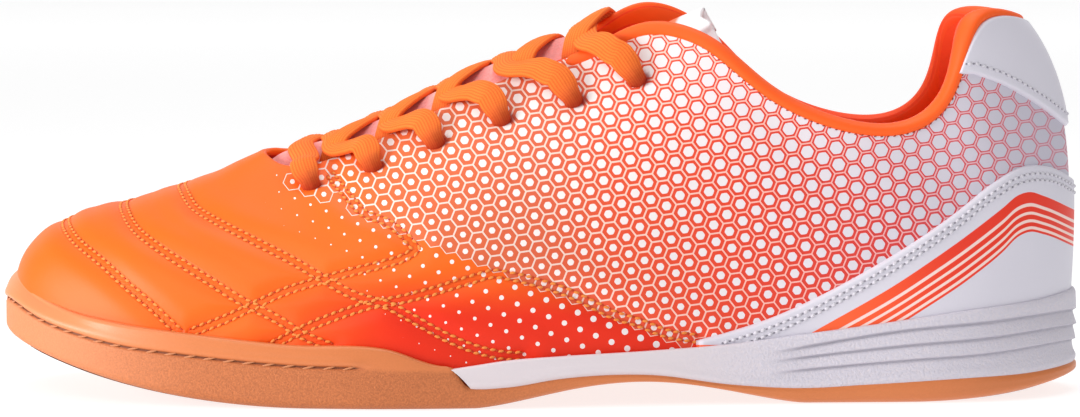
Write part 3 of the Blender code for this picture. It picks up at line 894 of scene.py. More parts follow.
def make_upper():
    """Leather shell with quilted seams and eyelet dimples outside, where the eyelet holes are painted as dark
    shade, and the padded lining inside.
    """
    mesh, across, up, points = mapped_mesh("upper", UPPER_COLUMNS, UPPER_ROWS, shell_surface)
    place = whole_ring(across)
    outside = up <= OUTER_PART
    seams = np.concatenate([upper_skin(path[:, 0], path[:, 1]) for path in upper_seams()])
    eyelets = eyelet_places()
    holes = upper_skin(eyelets, np.full_like(eyelets, HOLE_ROW))
    seam = np.full(len(points), FAR_FROM_SEAM)
    seam[outside] = distance_to(points[outside], seams)
    hole = distance_to(points, holes)
    offset = seam_pull(seam) - DIMPLE_DEPTH * bell(hole / DIMPLE_WIDTH)
    normal, _ = upper_frame(place, part_of(up, 0.0, OUTER_PART))
    moved = offset[:, None] * normal + toe_trim(points, normal)
    points = points + np.where(outside[:, None], moved, 0.0)
    place_points(mesh, points)
    set_uv(mesh, photo_place(outer_side(points)) / PHOTO_WIDTH)
    set_number(mesh, "seam", seam)
    # Mask of the eyelet holes, which the leather paints with dark shade
    set_number(mesh, "hole", soft_step(HOLE_SHARPNESS * (1.0 - hole / HOLE_RADIUS)))
    limit = np.where(from_toe(place) > ROLL_START, OUTER_PART, EDGE_PART)
    corners = corner_points(mesh).reshape(-1, 4)
    lined = up[corners].mean(axis=1) > limit[corners].mean(axis=1)
    mesh.polygons.foreach_set("material_index", lined.astype(np.int32))
    finishes = [print_leather(), lining_fabric()]
    add_piece("upper_shell", mesh, finishes, ["upper"], "orange_leather", merge=0.02)


# The print on the quarters, in pixels of the photo: the lattice's turn, and where cells start and end
CELL_TURN = math.radians(8.0)
CELL_START = ((0, 0), (255, 0), (265, 187), (311, 191), (345, 202), (372, 222), (410, 240), (450, 250),
              (470, 262), (510, 279), (566, 293), (615, 316), (669, 335), (700, 345), (1080, 345))
CELL_TOP = ((258, 417), (266, 176), (294, 176), (300, 0))
# The light centres grow towards heel and collar, where rows count more than columns
GROWTH_LEAN = 1.9
GROWTH_ROW = 200.0
GROWTH_SPAN = 1400.0
DOT_SHARE = ((230, 0.17), (372, 0.32), (600, 0.48), (800, 0.615), (900, 0.70), (1000, 0.77), (1250, 0.83))
DOT_SQUARENESS = 0.65
LINE_SHARE = ((250, 0.085), (500, 0.10), (600, 0.105), (780, 0.085), (900, 0.08), (1080, 0.085))
# Loose dots in front of the cells: their size, and how far below the cells they reach
LOOSE_DOT = ((260, 0.0), (300, 0.17), (400, 0.24), (500, 0.31), (600, 0.39), (700, 0.45))
LOOSE_REACH = ((260, 30), (330, 60), (420, 110), (520, 130), (700, 130))
# Colours of the cells' parts over the photo's columns, as display values
RING_COLOURS = ((300, (240, 112, 52)), (450, (220, 104, 62)), (540, (220, 98, 64)), (620, (232, 82, 48)),
                (720, (230, 68, 42)), (800, (222, 62, 46)), (900, (212, 60, 60)), (980, (208, 82, 92)),
                (1050, (200, 128, 146)))
LINE_COLOURS = ((250, (246, 230, 220)), (500, (236, 212, 200)), (620, (246, 208, 194)),
                (780, (244, 184, 174)), (900, (232, 168, 172)), (1040, (210, 178, 192)))
DOT_COLOURS = ((250, (250, 240, 234)), (600, (244, 234, 232)), (800, (228, 221, 228)),
               (920, (210, 205, 216)), (1040, (196, 192, 206)))
# Where rings take their own colour and the leather turns deep orange, over columns and rows of the photo
RING_COLUMNS = (270.0, 420.0)
DEEP_COLUMNS = (210.0, 420.0)
DEEP_ROWS = (262.0, 322.0)
CLOUD_SHARE = 0.2
# Width in mm of the furrow under a row of stitches, and how dark the painted shade in it is
FURROW_WIDTH = 0.7
FURROW_SHADE = 0.25


def column_stops(table, scale=1.0, span=PHOTO_WIDTH):
    """Turn a table over the photo's columns into the stops of a ramp."""
    stops = []
    for column, value in table:
        stops.append((column / span, paint(*value) if isinstance(value, tuple) else value * scale))
    return stops


def rows_over(along, table):
    """Return the rows of the photo that a table gives over its columns."""
    return along.ramp(column_stops(table, 1.0 / PHOTO_HEIGHT)) * PHOTO_HEIGHT


def in_cell(across, up, wide, pitch):
    """Return the place inside the nearest cell of a lattice of rectangles."""
    return across - round(across / wide) * wide, up - round(up / pitch) * pitch


def hexagon_cells(across, up, pitch):
    """Return the place inside the nearest cell of a lattice of hexagons that stand on a flat side."""
    wide = math.sqrt(3.0) * pitch
    first = in_cell(across, up, wide, pitch)
    second = in_cell(across - wide / 2.0, up - pitch / 2.0, wide, pitch)
    nearer = (first[0] * first[0] + first[1] * first[1]) < (second[0] * second[0] + second[1] * second[1])
    return [second[axis] + nearer * (first[axis] - second[axis]) for axis in range(2)]


# Warm tint of the light that the orange leather reflects
LEATHER_SHINE = (1.0, 0.94, 0.88, 1.0)


def leather_grain(wire, place, below=None):
    """Return a normal with the fine pebble of smooth leather."""
    pebble = wire.cells(place, scale=1500.0)
    folds = wire.noise(place, scale=420.0, detail=3.0)
    return wire.bump(pebble * 0.5 + folds, strength=0.22, distance=0.12, below=below)


# Roughness of the printed leather, and what its clouds add
LEATHER_ROUGH = 0.42
CLOUD_ROUGH = 0.14


def print_leather():
    """Orange leather with the hexagon print that fades to white at the heel, with painted shade in the seams'
    furrows and in the eyelet holes.
    """
    material, wire, place = new_finish("print_leather")
    seen_across, seen_down = wire.uv()
    column = seen_across * PHOTO_WIDTH
    row = seen_down * PHOTO_WIDTH
    cosine = math.cos(CELL_TURN)
    sine = math.sin(CELL_TURN)
    pitch = size("cell_pitch") / PIXEL
    across = column * cosine - row * sine
    up = column * -sine - row * cosine
    inside_across, inside_up = hexagon_cells(across, up, pitch)
    cell_across = across - inside_across
    cell_up = up - inside_up
    cell_column = cell_across * cosine - cell_up * sine
    cell_row = cell_across * -sine - cell_up * cosine
    along = cell_column / PHOTO_WIDTH
    half = pitch / 2.0
    flat_x = abs(inside_across)
    flat_y = abs(inside_up)
    edge = flat_y.most(flat_x * (math.sqrt(3.0) / 2.0) + flat_y * 0.5) / half
    ball = (inside_across * inside_across + inside_up * inside_up) ** 0.5 / half
    dot_edge = edge * DOT_SQUARENESS + ball * (1.0 - DOT_SQUARENESS)
    start = rows_over(along, CELL_START)
    printed = (cell_row < start) * (cell_row > rows_over(along, CELL_TOP))
    growth = (cell_column - (cell_row - GROWTH_ROW) * GROWTH_LEAN) / GROWTH_SPAN
    dot = (dot_edge < growth.ramp(column_stops(DOT_SHARE, span=GROWTH_SPAN))) * printed
    line = (edge > 1.0 - along.ramp(column_stops(LINE_SHARE))) * printed
    left = (1.0 - (cell_row - start) / rows_over(along, LOOSE_REACH)).most(0.0)
    loose = (ball < along.ramp(column_stops(LOOSE_DOT)) * left ** 0.5) * (1.0 - printed)
    cloud = wire.noise(place, scale=24.0)
    deep = row.fade(*DEEP_ROWS) * column.fade(*DEEP_COLUMNS) + (cloud - 0.5) * CLOUD_SHARE
    leather = deep.mix(colour("orange"), colour("deep_orange"))
    ringed = printed * column.fade(*RING_COLUMNS)
    ring = ringed.mix(leather, along.ramp(column_stops(RING_COLOURS)))
    lined = line.mix(ring, along.ramp(column_stops(LINE_COLOURS)))
    dotted = dot.most(loose).mix(lined, along.ramp(column_stops(DOT_COLOURS)))
    # Painted shade darkens the furrow under each row of stitches
    furrow_and_shade = (1.0 - abs(wire.number("seam") - size("seam_gap") / 2.0) / FURROW_WIDTH).most(0.0)
    stitched = (furrow_and_shade * FURROW_SHADE).mix(dotted, tint("furrow_and_shade"))
    # Painted shade darkens the eyelet holes
    shaded = wire.number("hole").mix(stitched, tint("eyelet_hole_shade"))
    raised = wire.bump(line.most(dot), strength=0.25, distance=0.08)
    sewn = wire.bump(1.0 - furrow_and_shade, strength=0.4, distance=0.4, below=raised)
    return set_finish(material, base_color=shaded, roughness=LEATHER_ROUGH + cloud * CLOUD_ROUGH,
                      normal=leather_grain(wire, place, sewn), specular_ior_level=0.33,
                      specular_tint=LEATHER_SHINE, coat_weight=0.02, coat_roughness=0.4)


def lining_fabric():
    """Soft brushed lining of collar and shoe."""
    material, wire, place = new_finish("lining_fabric")
    nap = wire.noise(place, scale=900.0, detail=3.0, roughness=0.6)
    cloud = wire.noise(place, scale=30.0)
    shade = (nap * 0.5 + cloud * 0.5).mix(tint("lining"), colour("collar"))
    return set_finish(material, base_color=shade, roughness=0.85, sheen_weight=0.05,
                      normal=wire.bump(nap, strength=0.3, distance=0.2))


# The collar's roll: sections where it starts and fades in, then mm: how far it stands proud outside and
# inside, its depth inside, how far its middle sits below the edge, and the share of the edge it covers
ROLL_START = 8.35
ROLL_FADE = 0.25
ROLL_PROUD = 0.9
ROLL_INNER = 0.1
ROLL_DEPTH = 7.0
ROLL_LOW = 1.15
ROLL_COVERS = 0.9
EDGE_STEP = 0.05
# Sections behind which the roll's inner side takes the lining's colour; in front of them painted light keeps
# it at the lighter piping colour
DOME_LIGHT_END = 10.2
DOME_LIGHT_FADE = 1.0
ROLL_COLUMNS = 420
ROLL_ROWS = 28
ROLL_UV = (4.0, 0.12)


def edge_frame(place):
    """Return points on the collar's edge, the directions off the upper, and those square to the edge."""
    level = np.full_like(place, 1.0 - FINE_STEP)
    normal, rise = upper_frame(place, level)
    run = upper_skin(place + EDGE_STEP, level) - upper_skin(place - EDGE_STEP, level)
    square = unit(np.cross(run, normal))
    square *= np.sign(np.sum(square * rise, axis=-1))[:, None]
    return upper_skin(place, level), normal, square


def roll_surface(across, up):
    """Return the rolled edge of the collar, round its cross-section and along the top edge."""
    place = round_heel(ROLL_START, across)
    edge, normal, square = edge_frame(place)
    half_wall = wall_thickness(place, np.ones_like(place)) / 2.0
    full = soft_step((from_toe(place) - ROLL_START) / ROLL_FADE)
    turn = 2.0 * math.pi * up
    inner = np.cos(turn) < 0.0
    out = (half_wall + np.where(inner, ROLL_INNER, ROLL_PROUD)) * np.cos(turn) * full
    tall = np.where(inner & (np.sin(turn) < 0.0), ROLL_DEPTH, size("piping_radius"))
    high = tall * np.sin(turn) * full
    middle = edge - half_wall[:, None] * normal - ROLL_LOW * square
    return middle + out[:, None] * normal + high[:, None] * square


def make_collar():
    """Soft rolled edge of lining fabric round the collar."""
    mesh, across, up, _ = mapped_mesh("collar", ROLL_COLUMNS, ROLL_ROWS, roll_surface)
    set_uv(mesh, np.stack([across, up], axis=-1) * ROLL_UV)
    # In front, painted light keeps the roll's inner side at the piping colour
    behind = soft_step((from_toe(round_heel(ROLL_START, across)) - DOME_LIGHT_END) / DOME_LIGHT_FADE)
    set_number(mesh, "inner", soft_step(0.5 - np.cos(2.0 * math.pi * up)) * behind)
    piece = add_piece("collar_roll", mesh, [collar_fabric()], slot="lining_fabric", merge=0.01, outward=True)


# How far clouds blend the piping into the collar's colour
PIPING_CLOUD = 0.4


def collar_fabric():
    """Smooth coated fabric of the collar's roll, whose inner side keeps the lighter piping colour in front as
    painted light.
    """
    material, wire, place = new_finish("collar_fabric")
    weave = wire.noise(place, scale=1400.0)
    cloud = wire.noise(place, scale=40.0)
    piping = (cloud * PIPING_CLOUD).mix(tint("piping"), colour("collar"))
    # The inner side takes the lining's colour behind the front, where painted light keeps it at the piping
    # colour
    shade = wire.number("inner").mix(piping, colour("collar"))
    return set_finish(material, base_color=shade, roughness=0.55, specular_ior_level=0.3,
                      normal=wire.bump(weave, strength=0.25, distance=0.12))


# The tongue: sections it runs between, then mm: its gap to the upper, its thickness and its crown
TONGUE_FIRST = 1.0
TONGUE_LAST = 10.0
TONGUE_GAP = 1.6
TONGUE_THICKNESS = 4.0
TONGUE_CROWN = 5.5
CROWN_RUN = 3.0
TONGUE_RISE = 1.0
# How it sinks below the collar behind a section: its crown and its gap in mm, its sides as a share
CROWN_FALL = 12.4
CROWN_FALL_SECTION = 8.2
TONGUE_SHARES = (0.80, 0.86, 0.93, 1.0)
TONGUE_INSET = 3.2
SIDE_FALL = 0.35
# Its free tip: reach in mm with the share of width left, the slope of its ridge, and the lean of its sides
TIP_STEPS = ((5.0, 0.94), (10.0, 0.84), (15.0, 0.66))
TIP_SLOPE = math.radians(25.0)
TIP_LEAN = 0.25
# Its grid, its rounded edges and ends, and the parts of its length where white tip and bright lining start
TONGUE_SECTIONS = 28
TONGUE_COLUMNS = 96
TONGUE_ROWS = 150
TONGUE_SQUARENESS = 4
TONGUE_END = 0.03
TIP_PART = 0.945
LINED_PART = 0.785
COLOUR_FADE = 0.01
TONGUE_UV = (1.0, 2.0)


def throat_sides(section, distance, shares):
    """Return the outer and the inner side's points of the upper at a section, moved off the skin."""
    shares = np.asarray(shares, dtype=float)
    near = upper_offset(np.full_like(shares, section), shares, distance)
    far = upper_offset(np.full_like(shares, RING_SECTIONS - section), shares, distance)
    return near, far


def throat_crown(section):
    """Return the middle of the arch over the throat at a section."""
    near, far = throat_sides(section, -(WALL + TONGUE_GAP), [1.0])
    middle = (near[0] + far[0]) / 2.0
    middle[2] += TONGUE_CROWN * soft_step((section - TONGUE_FIRST) / CROWN_RUN)
    return middle


def tongue_fall(section):
    """Return how far the tongue has sunk below the collar at a section, from 0 to 1."""
    return soft_step((section - CROWN_FALL_SECTION) / (TONGUE_LAST - CROWN_FALL_SECTION))


def tongue_crown(section):
    """Return the middle of the tongue's outer face at a section, which sinks below the collar."""
    middle = throat_crown(section)
    middle[2] += TONGUE_RISE - CROWN_FALL * tongue_fall(section)
    return middle


def tongue_net():
    """Return the tongue's outer face as a coarse net of points."""
    rows = []
    for section in np.linspace(TONGUE_FIRST, TONGUE_LAST, TONGUE_SECTIONS):
        fall = tongue_fall(section)
        least = TONGUE_SHARES[0]
        shares = [least + (share - least) * (1.0 - SIDE_FALL * fall) for share in TONGUE_SHARES]
        near, far = throat_sides(section, -(WALL + TONGUE_GAP + TONGUE_INSET * fall), shares)
        rows.append(np.array([*near, tongue_crown(section), *far[::-1]]))
    last = rows[-1]
    crown = last[len(last) // 2]
    ridge = np.array([math.cos(TIP_SLOPE), 0.0, math.sin(TIP_SLOPE)])
    for reach, width in TIP_STEPS:
        row = crown + (last - crown) * width + ridge * reach
        row[:, 0] += TIP_LEAN * (row[len(row) // 2, 2] - row[:, 2]) * reach / TIP_STEPS[-1][0]
        rows.append(row)
    return np.array(rows)


def net_surface(net, across, along):
    """Return smooth points on a net of points, from two directions that run from 0 to 1."""
    rows, columns, _ = net.shape
    fine = np.empty((rows, len(across), 3))
    numbers = np.arange(columns)
    for index in range(rows):
        for axis in range(3):
            fine[index, :, axis] = smooth_between(across * (columns - 1), numbers, net[index, :, axis])
    level = along * (rows - 1)
    first = np.clip(level.astype(int), 0, rows - 2)
    part = (level - first)[:, None]
    picks = np.arange(len(across))
    before = fine[np.clip(first - 1, 0, rows - 1), picks]
    start = fine[first, picks]
    end = fine[first + 1, picks]
    after = fine[np.clip(first + 2, 0, rows - 1), picks]
    rise = (end - before) / 2.0
    fall = (after - start) / 2.0
    gain = end - start
    bend = 3.0 * gain - 2.0 * rise - fall
    twist = rise + fall - 2.0 * gain
    return start + part * (rise + part * (bend + part * twist))


def make_tongue():
    """Padded fabric tongue, with a white tip above the collar."""
    net = tongue_net()

    def slope(side, up, side_step, up_step):
        ahead = net_surface(net, np.minimum(side + side_step, 1.0), np.minimum(up + up_step, 1.0))
        return ahead - net_surface(net, np.maximum(side - side_step, 0.0), np.maximum(up - up_step, 0.0))

    def surface(across, up):
        side = 1.0 - np.abs(2.0 * across - 1.0)
        normal = unit(np.cross(slope(side, up, 0.0, FINE_STEP), slope(side, up, FINE_STEP, 0.0)))
        normal *= np.sign(np.mean(normal[:, 2]))
        edge = np.sqrt(np.clip(1.0 - np.abs(2.0 * side - 1.0) ** TONGUE_SQUARENESS, 0.0, 1.0))
        ends = np.sqrt(np.clip(np.minimum(up, 1.0 - up) / TONGUE_END, 0.0, 1.0))
        depth = np.where(across > 0.5, TONGUE_THICKNESS * edge * ends, 0.0)
        return net_surface(net, side, up) - depth[:, None] * normal

    mesh, across, up, _ = mapped_mesh("tongue", TONGUE_COLUMNS, TONGUE_ROWS, surface)
    set_number(mesh, "tip", soft_step((up - TIP_PART) / COLOUR_FADE))
    set_number(mesh, "lined", soft_step((up - LINED_PART) / COLOUR_FADE))
    set_uv(mesh, np.stack([across, up], axis=-1) * TONGUE_UV)
    finish = tongue_fabric()
    piece = add_piece("tongue_pad", mesh, [finish], ["tongue"], "tongue_fabric", merge=0.02, outward=True)


# The tongue's knit: share of pale fibres, edge of a knit hole, and how dark the painted shade in the holes is
PALE_FIBRES = 0.6
KNIT_EDGE = (0.25, 0.05)
KNIT_HOLE_SHADE = 0.35


def tongue_fabric():
    """Knitted coral fabric with painted shade in its knit holes, a bright lining towards its end and a white
    tip.
    """
    material, wire, place = new_finish("tongue_fabric")
    knit_holes = wire.cells(place, scale=900.0)
    fibre = wire.noise(place, scale=1600.0)
    shade = (fibre * PALE_FIBRES).mix(colour("coral"), tint("tongue_pale"))
    # Painted shade darkens the knit holes
    knit = (knit_holes.fade(*KNIT_EDGE) * KNIT_HOLE_SHADE).mix(shade, tint("tongue_hole_shade"))
    lined = wire.number("lined").mix(knit, tint("tongue_lining"))
    base = wire.number("tip").mix(lined, tint("tongue_tip"))
    return set_finish(material, base_color=base, roughness=0.88, sheen_weight=0.3,
                      normal=wire.bump(knit_holes + fibre, strength=0.45, distance=0.3))


# Laces: points round and along one strand, knots of its path, and the ribs over its width, in mm
LACE_AROUND = 56
LACE_ALONG = 60
STRAND_KNOTS = 19
LACE_RIBS = 9
RIB_HEIGHT = 0.16
# Its cross-section: powers that make it flat, its crown in mm, and the higher crown at a pinching eyelet
SIDE_POWER = 0.75
HIGH_POWER = 0.6
LACE_CROWN = 0.55
PINCH_CROWN = 1.6
HOLE_WIDTH_SHARE = 0.74
# How its path rises and dives, in mm, with places and widths as shares of the way over the throat, and the
# share of its length at each end that painted shade darkens where it dives into an eyelet
LACE_CLEARANCE = 0.9
CROSS_LIFT = 1.3
CROSS_PLACE = 0.44
CROSS_WIDTH = 0.085
BULGE_LIFT = 2.3
BULGE_PLACE = 0.82
BULGE_WIDTH = 0.13
EYELET_FADE = 0.05
UNDER_EDGE = -3.8
EDGE_PLACE = 1.0 / 3.0
EDGE_CLIMB = 0.09
DIVE_DEPTH = 3.4
DIVE_REACH = 1.2
END_FADE = 0.095
ARCH_STEP = 0.01
SECTION_STEP = 0.02
# Where a strand runs: shares of the way over the throat, and shares of the step from its eyelet to the next.
# The over strand leaves the throat edge first, and the under strand slips out from below it.
OVER_RUN = ((0.30, -0.12), (0.34, -0.10), (0.50, 0.43), (0.70, 0.76), (1.0, 1.0))
UNDER_RUN = ((0.30, -0.12), (0.50, 0.0), (0.60, 0.06), (0.65, 0.22), (0.70, 0.50), (0.82, 0.80), (1.0, 1.0))
OVER_LEADS = (-0.22, -0.12, -0.06, 0.26, 0.12)
UNDER_LEADS = (-0.20, -0.05, 0.04, 0.0, 0.30)
BAR_RUN = ((0.0, 4.55), (0.17, 4.2), (0.33, 3.8), (0.5, 3.45), (0.67, 3.8), (0.83, 4.2), (1.0, 4.55))
Strand = namedtuple("Strand", "run to_outer over")
# The braid's slanted twill: radians along half a lace's width, and over one rib
TWILL_ALONG = 34.0
TWILL_LEAN = 6.6
# How much ribs, braid and fibres brighten the lace, ribs and braid as painted light and shade of their relief
# and fibres as their own tone, its least light, and how far fibres stand out
RIB_LIGHT = 0.62
BRAID_LIGHT = 0.16
FIBRE_LIGHT = 0.25
LEAST_LIGHT = 0.08
FIBRE_RELIEF = 0.6


def throat_arch(section, share):
    """Return a point over the throat, at a share of the way from the outer eyelet to the inner one."""
    near, far = throat_sides(section, 0.0, [EYELET_ROW, (EYELET_ROW + 1.0) / 2.0, 1.0])
    knots = np.array([*near, throat_crown(section), *far[::-1]])
    places = np.linspace(0.0, 1.0, len(knots))
    return np.array([smooth_between(share, places, knots[:, axis]) for axis in range(3)])


def strand_knot(strand, share, section):
    """Return a point of a strand's path, the direction off the foot there, and the lace's share of width."""
    side = 1.0 - share if strand.to_outer else share
    wide = throat_arch(section, min(side + ARCH_STEP, 1.0)) - throat_arch(section, max(side - ARCH_STEP, 0.0))
    along = throat_arch(section + SECTION_STEP, side) - throat_arch(section - SECTION_STEP, side)
    up = unit(np.cross(wide, along))
    up *= -1.0 if up[2] < 0.0 else 1.0
    near_eyelet = bell((1.0 - share) / EYELET_FADE)
    lift = LACE_CLEARANCE + BULGE_LIFT * bell((share - BULGE_PLACE) / BULGE_WIDTH)
    if strand.over:
        lift += CROSS_LIFT * bell((share - CROSS_PLACE) / CROSS_WIDTH)
    if strand.run[0][0] > 0.0:
        lift += (UNDER_EDGE - LACE_CLEARANCE) * (1.0 - soft_step((share - EDGE_PLACE) / EDGE_CLIMB))
    elif share < 0.5:
        lift += BULGE_LIFT * bell((share - 1.0 + BULGE_PLACE) / BULGE_WIDTH)
        near_eyelet = max(near_eyelet, bell(share / EYELET_FADE))
    width = 1.0 - (1.0 - HOLE_WIDTH_SHARE) * near_eyelet
    return throat_arch(section, side) + up * lift, up, width


def strand_path(strand):
    """Return a strand's middle line, the directions off the foot, its shares of width, and its length."""
    first_share = strand.run[0][0]
    shares = np.linspace(first_share, 1.0, STRAND_KNOTS)
    rows = [strand_knot(strand, share, float(read_table(strand.run, share))) for share in shares]
    knots, ups, widths = [list(column) for column in zip(*rows)]
    ends = ((-1, -2), (0, 1)) if first_share == 0.0 else ((-1, -2),)
    for end, beside in ends:
        outward = unit(knots[end] - knots[beside])
        dive = knots[end] + DIVE_REACH * outward - DIVE_DEPTH * ups[end]
        lean = unit(ups[end] + outward)
        spot = 0 if end == 0 else len(knots)
        for column, value in ((knots, dive), (ups, lean), (widths, HOLE_WIDTH_SHARE)):
            column.insert(spot, value)
    table = np.concatenate([np.array(knots), np.array(ups), np.array(widths)[:, None]], axis=1)
    steps = np.linalg.norm(np.diff(table[:, :3], axis=0), axis=1)
    places = np.concatenate([[0.0], np.cumsum(steps)])
    even = np.linspace(0.0, places[-1], LACE_ALONG + 1)
    fine = np.stack([smooth_between(even, places, column) for column in table.T], axis=-1)
    return fine[:, :3], unit(fine[:, 3:6]), fine[:, 6], places[-1]


def flattened(value, power):
    """Return a wave's value with its ups and downs made fuller by a power."""
    return np.sign(value) * np.abs(value) ** power


def strand_mesh(name, strand):
    """Sweep the flat ribbed lace along a strand's path."""
    line, ups, widths, length = strand_path(strand)
    run = unit(np.gradient(line, axis=0))
    across_lace = unit(np.cross(ups, run))
    up_lace = np.cross(run, across_lace)
    wide = size("lace_width") / 2.0
    thick = size("lace_thickness") / 2.0

    def surface(around, along):
        station = np.round(along * LACE_ALONG).astype(int)
        turn = 2.0 * math.pi * around
        side = flattened(np.cos(turn), SIDE_POWER)
        high = flattened(np.sin(turn), HIGH_POWER)
        ribs = RIB_HEIGHT * np.abs(np.cos(math.pi * LACE_RIBS * side / 2.0)) * np.sign(high)
        width = widths[station]
        crown = (LACE_CROWN + PINCH_CROWN * (1.0 - width)) * (1.0 - side**2)
        offset = thick * high / np.sqrt(width) + ribs + crown
        sideways = (wide * width * side)[:, None] * across_lace[station]
        return line[station] + sideways + offset[:, None] * up_lace[station]

    mesh, around, along, _ = mapped_mesh(name, LACE_AROUND, LACE_ALONG, surface)
    side = flattened(np.cos(2.0 * math.pi * around), SIDE_POWER)
    set_uv(mesh, np.stack([side, along * length / wide], axis=-1))
    # Painted shade at both ends, where the lace dives into an eyelet
    set_number(mesh, "inside", np.maximum(bell((1.0 - along) / END_FADE), bell(along / END_FADE)))
    return mesh


def make_laces():
    """Flat laces: a bar over the first eyelets and five crossings, whose ends stop inside the eyelets."""
    finish = lace_fabric()

    def add_strand(name, strand, node):
        mesh = strand_mesh(name, strand)
        add_piece(name, mesh, [finish], [node], "lace_cord", merge=0.01, outward=True)

    def crossing(table, lead, low, high):
        return [(share, low + (step + lead * (1.0 - step)) * (high - low)) for share, step in table]

    add_strand("lace_bar_flat", Strand(BAR_RUN, False, False), "lace_bar")
    steps = zip(EYELET_SECTIONS[:-1], EYELET_SECTIONS[1:], OVER_LEADS, UNDER_LEADS)
    for number, (low, high, over_lead, under_lead) in enumerate(steps, start=1):
        node = f"lace_cross_{number}"
        add_strand(f"{node}_over", Strand(crossing(OVER_RUN, over_lead, low, high), False, True), node)
        add_strand(f"{node}_under", Strand(crossing(UNDER_RUN, under_lead, low, high), True, False), node)


def lace_fabric():
    """Braided flat lace: lengthwise ribs with a fine herringbone, painted light and shade across ribs and
    braid, and painted shade at the ends where they dive into the eyelets.
    """
    material, wire, place = new_finish("lace_fabric")
    side, along = wire.uv()
    rib = abs(wire.maths("COSINE", side * (math.pi * LACE_RIBS / 2.0)))
    from_rib = abs(side * LACE_RIBS - round(side * LACE_RIBS))
    braid = wire.maths("SINE", along * TWILL_ALONG + from_rib * TWILL_LEAN) * 0.5 + 0.5
    fibre = wire.noise(place, scale=2200.0)
    lit = (rib * RIB_LIGHT + braid * BRAID_LIGHT + fibre * FIBRE_LIGHT + LEAST_LIGHT).least(1.0)
    # Painted light on the ribs' crests and braid, painted shade in the grooves between them
    shade = lit.mix(tint("lace_groove_shade"), colour("lace"))
    # Painted shade darkens the ends inside the eyelets
    dark = wire.number("inside").mix(shade, tint("lace_end_shade"))
    return set_finish(material, base_color=dark, roughness=0.78, specular_ior_level=0.3,
                      normal=wire.bump(braid + fibre * FIBRE_RELIEF, strength=0.4, distance=0.18))


# Heel overlays: thickness, rounding of their edges and rough length in mm, grids, and limits of their shares
OVERLAY_THICKNESS = 1.3
OVERLAY_SUNK = 0.25
OVERLAY_ROUND = 1.1
OVERLAY_LENGTH = 200.0
COUNTER_COLUMNS = 260
COUNTER_ROWS = 88
COUNTER_TUCK = 3.5
TAB_COLUMNS = 150
TAB_ROWS = 72
TAB_TOP_SHARE = 0.968
LEAST_SHARE = 0.004
# The counter's stripes, in pixels of the photo: upper line of the band, then tops and bottoms below that line
STRIPE_LINE = ((790, 345), (822, 327), (900, 282), (940, 255), (957, 243), (985, 222), (1004, 207),
               (1017, 196), (1030, 192), (1044, 196), (1075, 210), (1100, 221))
STRIPES = ((0.0, 10.6), (13.8, 18.9), (21.6, 26.2), (29.0, 33.0), (35.8, 38.2))
STRIPE_STRETCH = ((780, 1.05), (860, 1.08), (920, 1.13), (970, 1.18), (1000, 1.16), (1022, 1.07),
                  (1045, 1.0), (1110, 0.97))
STRIPE_SOFT = 0.25
# Where the stripes' ink deepens towards the heel, in mm
STRIPE_FADE = (72.0, 112.0)


def overlay_mesh(name, start, low_edge, high_edge, columns, rows):
    """Make a closed leather overlay round the heel between two edges, given as shares over places."""

    def surface(across, up):
        place = round_heel(start, across)
        columns_place = np.unique(place)
        high = np.interp(place, columns_place, high_edge(columns_place))
        low = np.interp(place, columns_place, low_edge(columns_place))
        low = np.minimum(low, high - LEAST_SHARE)
        side = 0.5 - 0.5 * np.cos(math.pi * (1.0 - np.abs(2.0 * up - 1.0)))
        tall = np.linalg.norm(upper_skin(place, high) - upper_skin(place, low), axis=-1)
        from_end = np.minimum(across, 1.0 - across) * OVERLAY_LENGTH
        from_edge = np.minimum(np.minimum(side, 1.0 - side) * tall, from_end)
        full = np.sqrt(1.0 - np.square(1.0 - np.clip(from_edge / OVERLAY_ROUND, 0.0, 1.0)))
        lift = np.where(up <= 0.5, (OVERLAY_THICKNESS + OVERLAY_SUNK) * full, 0.0) - OVERLAY_SUNK
        return upper_offset(place, low + side * (high - low), lift)

    return mapped_mesh(name, columns, rows, surface)


def counter_floor(x):
    """Return the line where the counter dips behind the midsole's rim."""
    return rim_height(x) - COUNTER_TUCK


def make_heel():
    """White leather counter with its stripes, and the white tab at the top of the heel."""
    mesh, _, _, points = overlay_mesh(
        "heel_counter", COUNTER_START, lambda place: share_at(place, counter_floor),
        lambda place: share_at(place, edge_line(COUNTER_EDGE)), COUNTER_COLUMNS, COUNTER_ROWS)
    column, row = photo_place(outer_side(points)).T
    set_number(mesh, "stripe", (row - read_table(STRIPE_LINE, column)) / read_table(STRIPE_STRETCH, column))
    finish = white_leather("counter_leather", True)
    add_piece("counter_overlay", mesh, [finish], ["heel_counter"], "white_leather", merge=0.01, outward=True)
    mesh, _, _, _ = overlay_mesh(
        "heel_tab", TAB_START, lambda place: share_at(place, edge_line(TAB_EDGE)),
        lambda place: np.full_like(place, TAB_TOP_SHARE), TAB_COLUMNS, TAB_ROWS)
    finish = white_leather("tab_leather", False)
    add_piece("tab_overlay", mesh, [finish], ["heel_tab"], "white_leather", merge=0.01, outward=True)


def stripe_band(below, top, bottom, soft):
    """Return the band of a stripe between two distances below the band's upper line."""
    return below.fade(top - soft, top + soft) * below.fade(bottom + soft, bottom - soft)


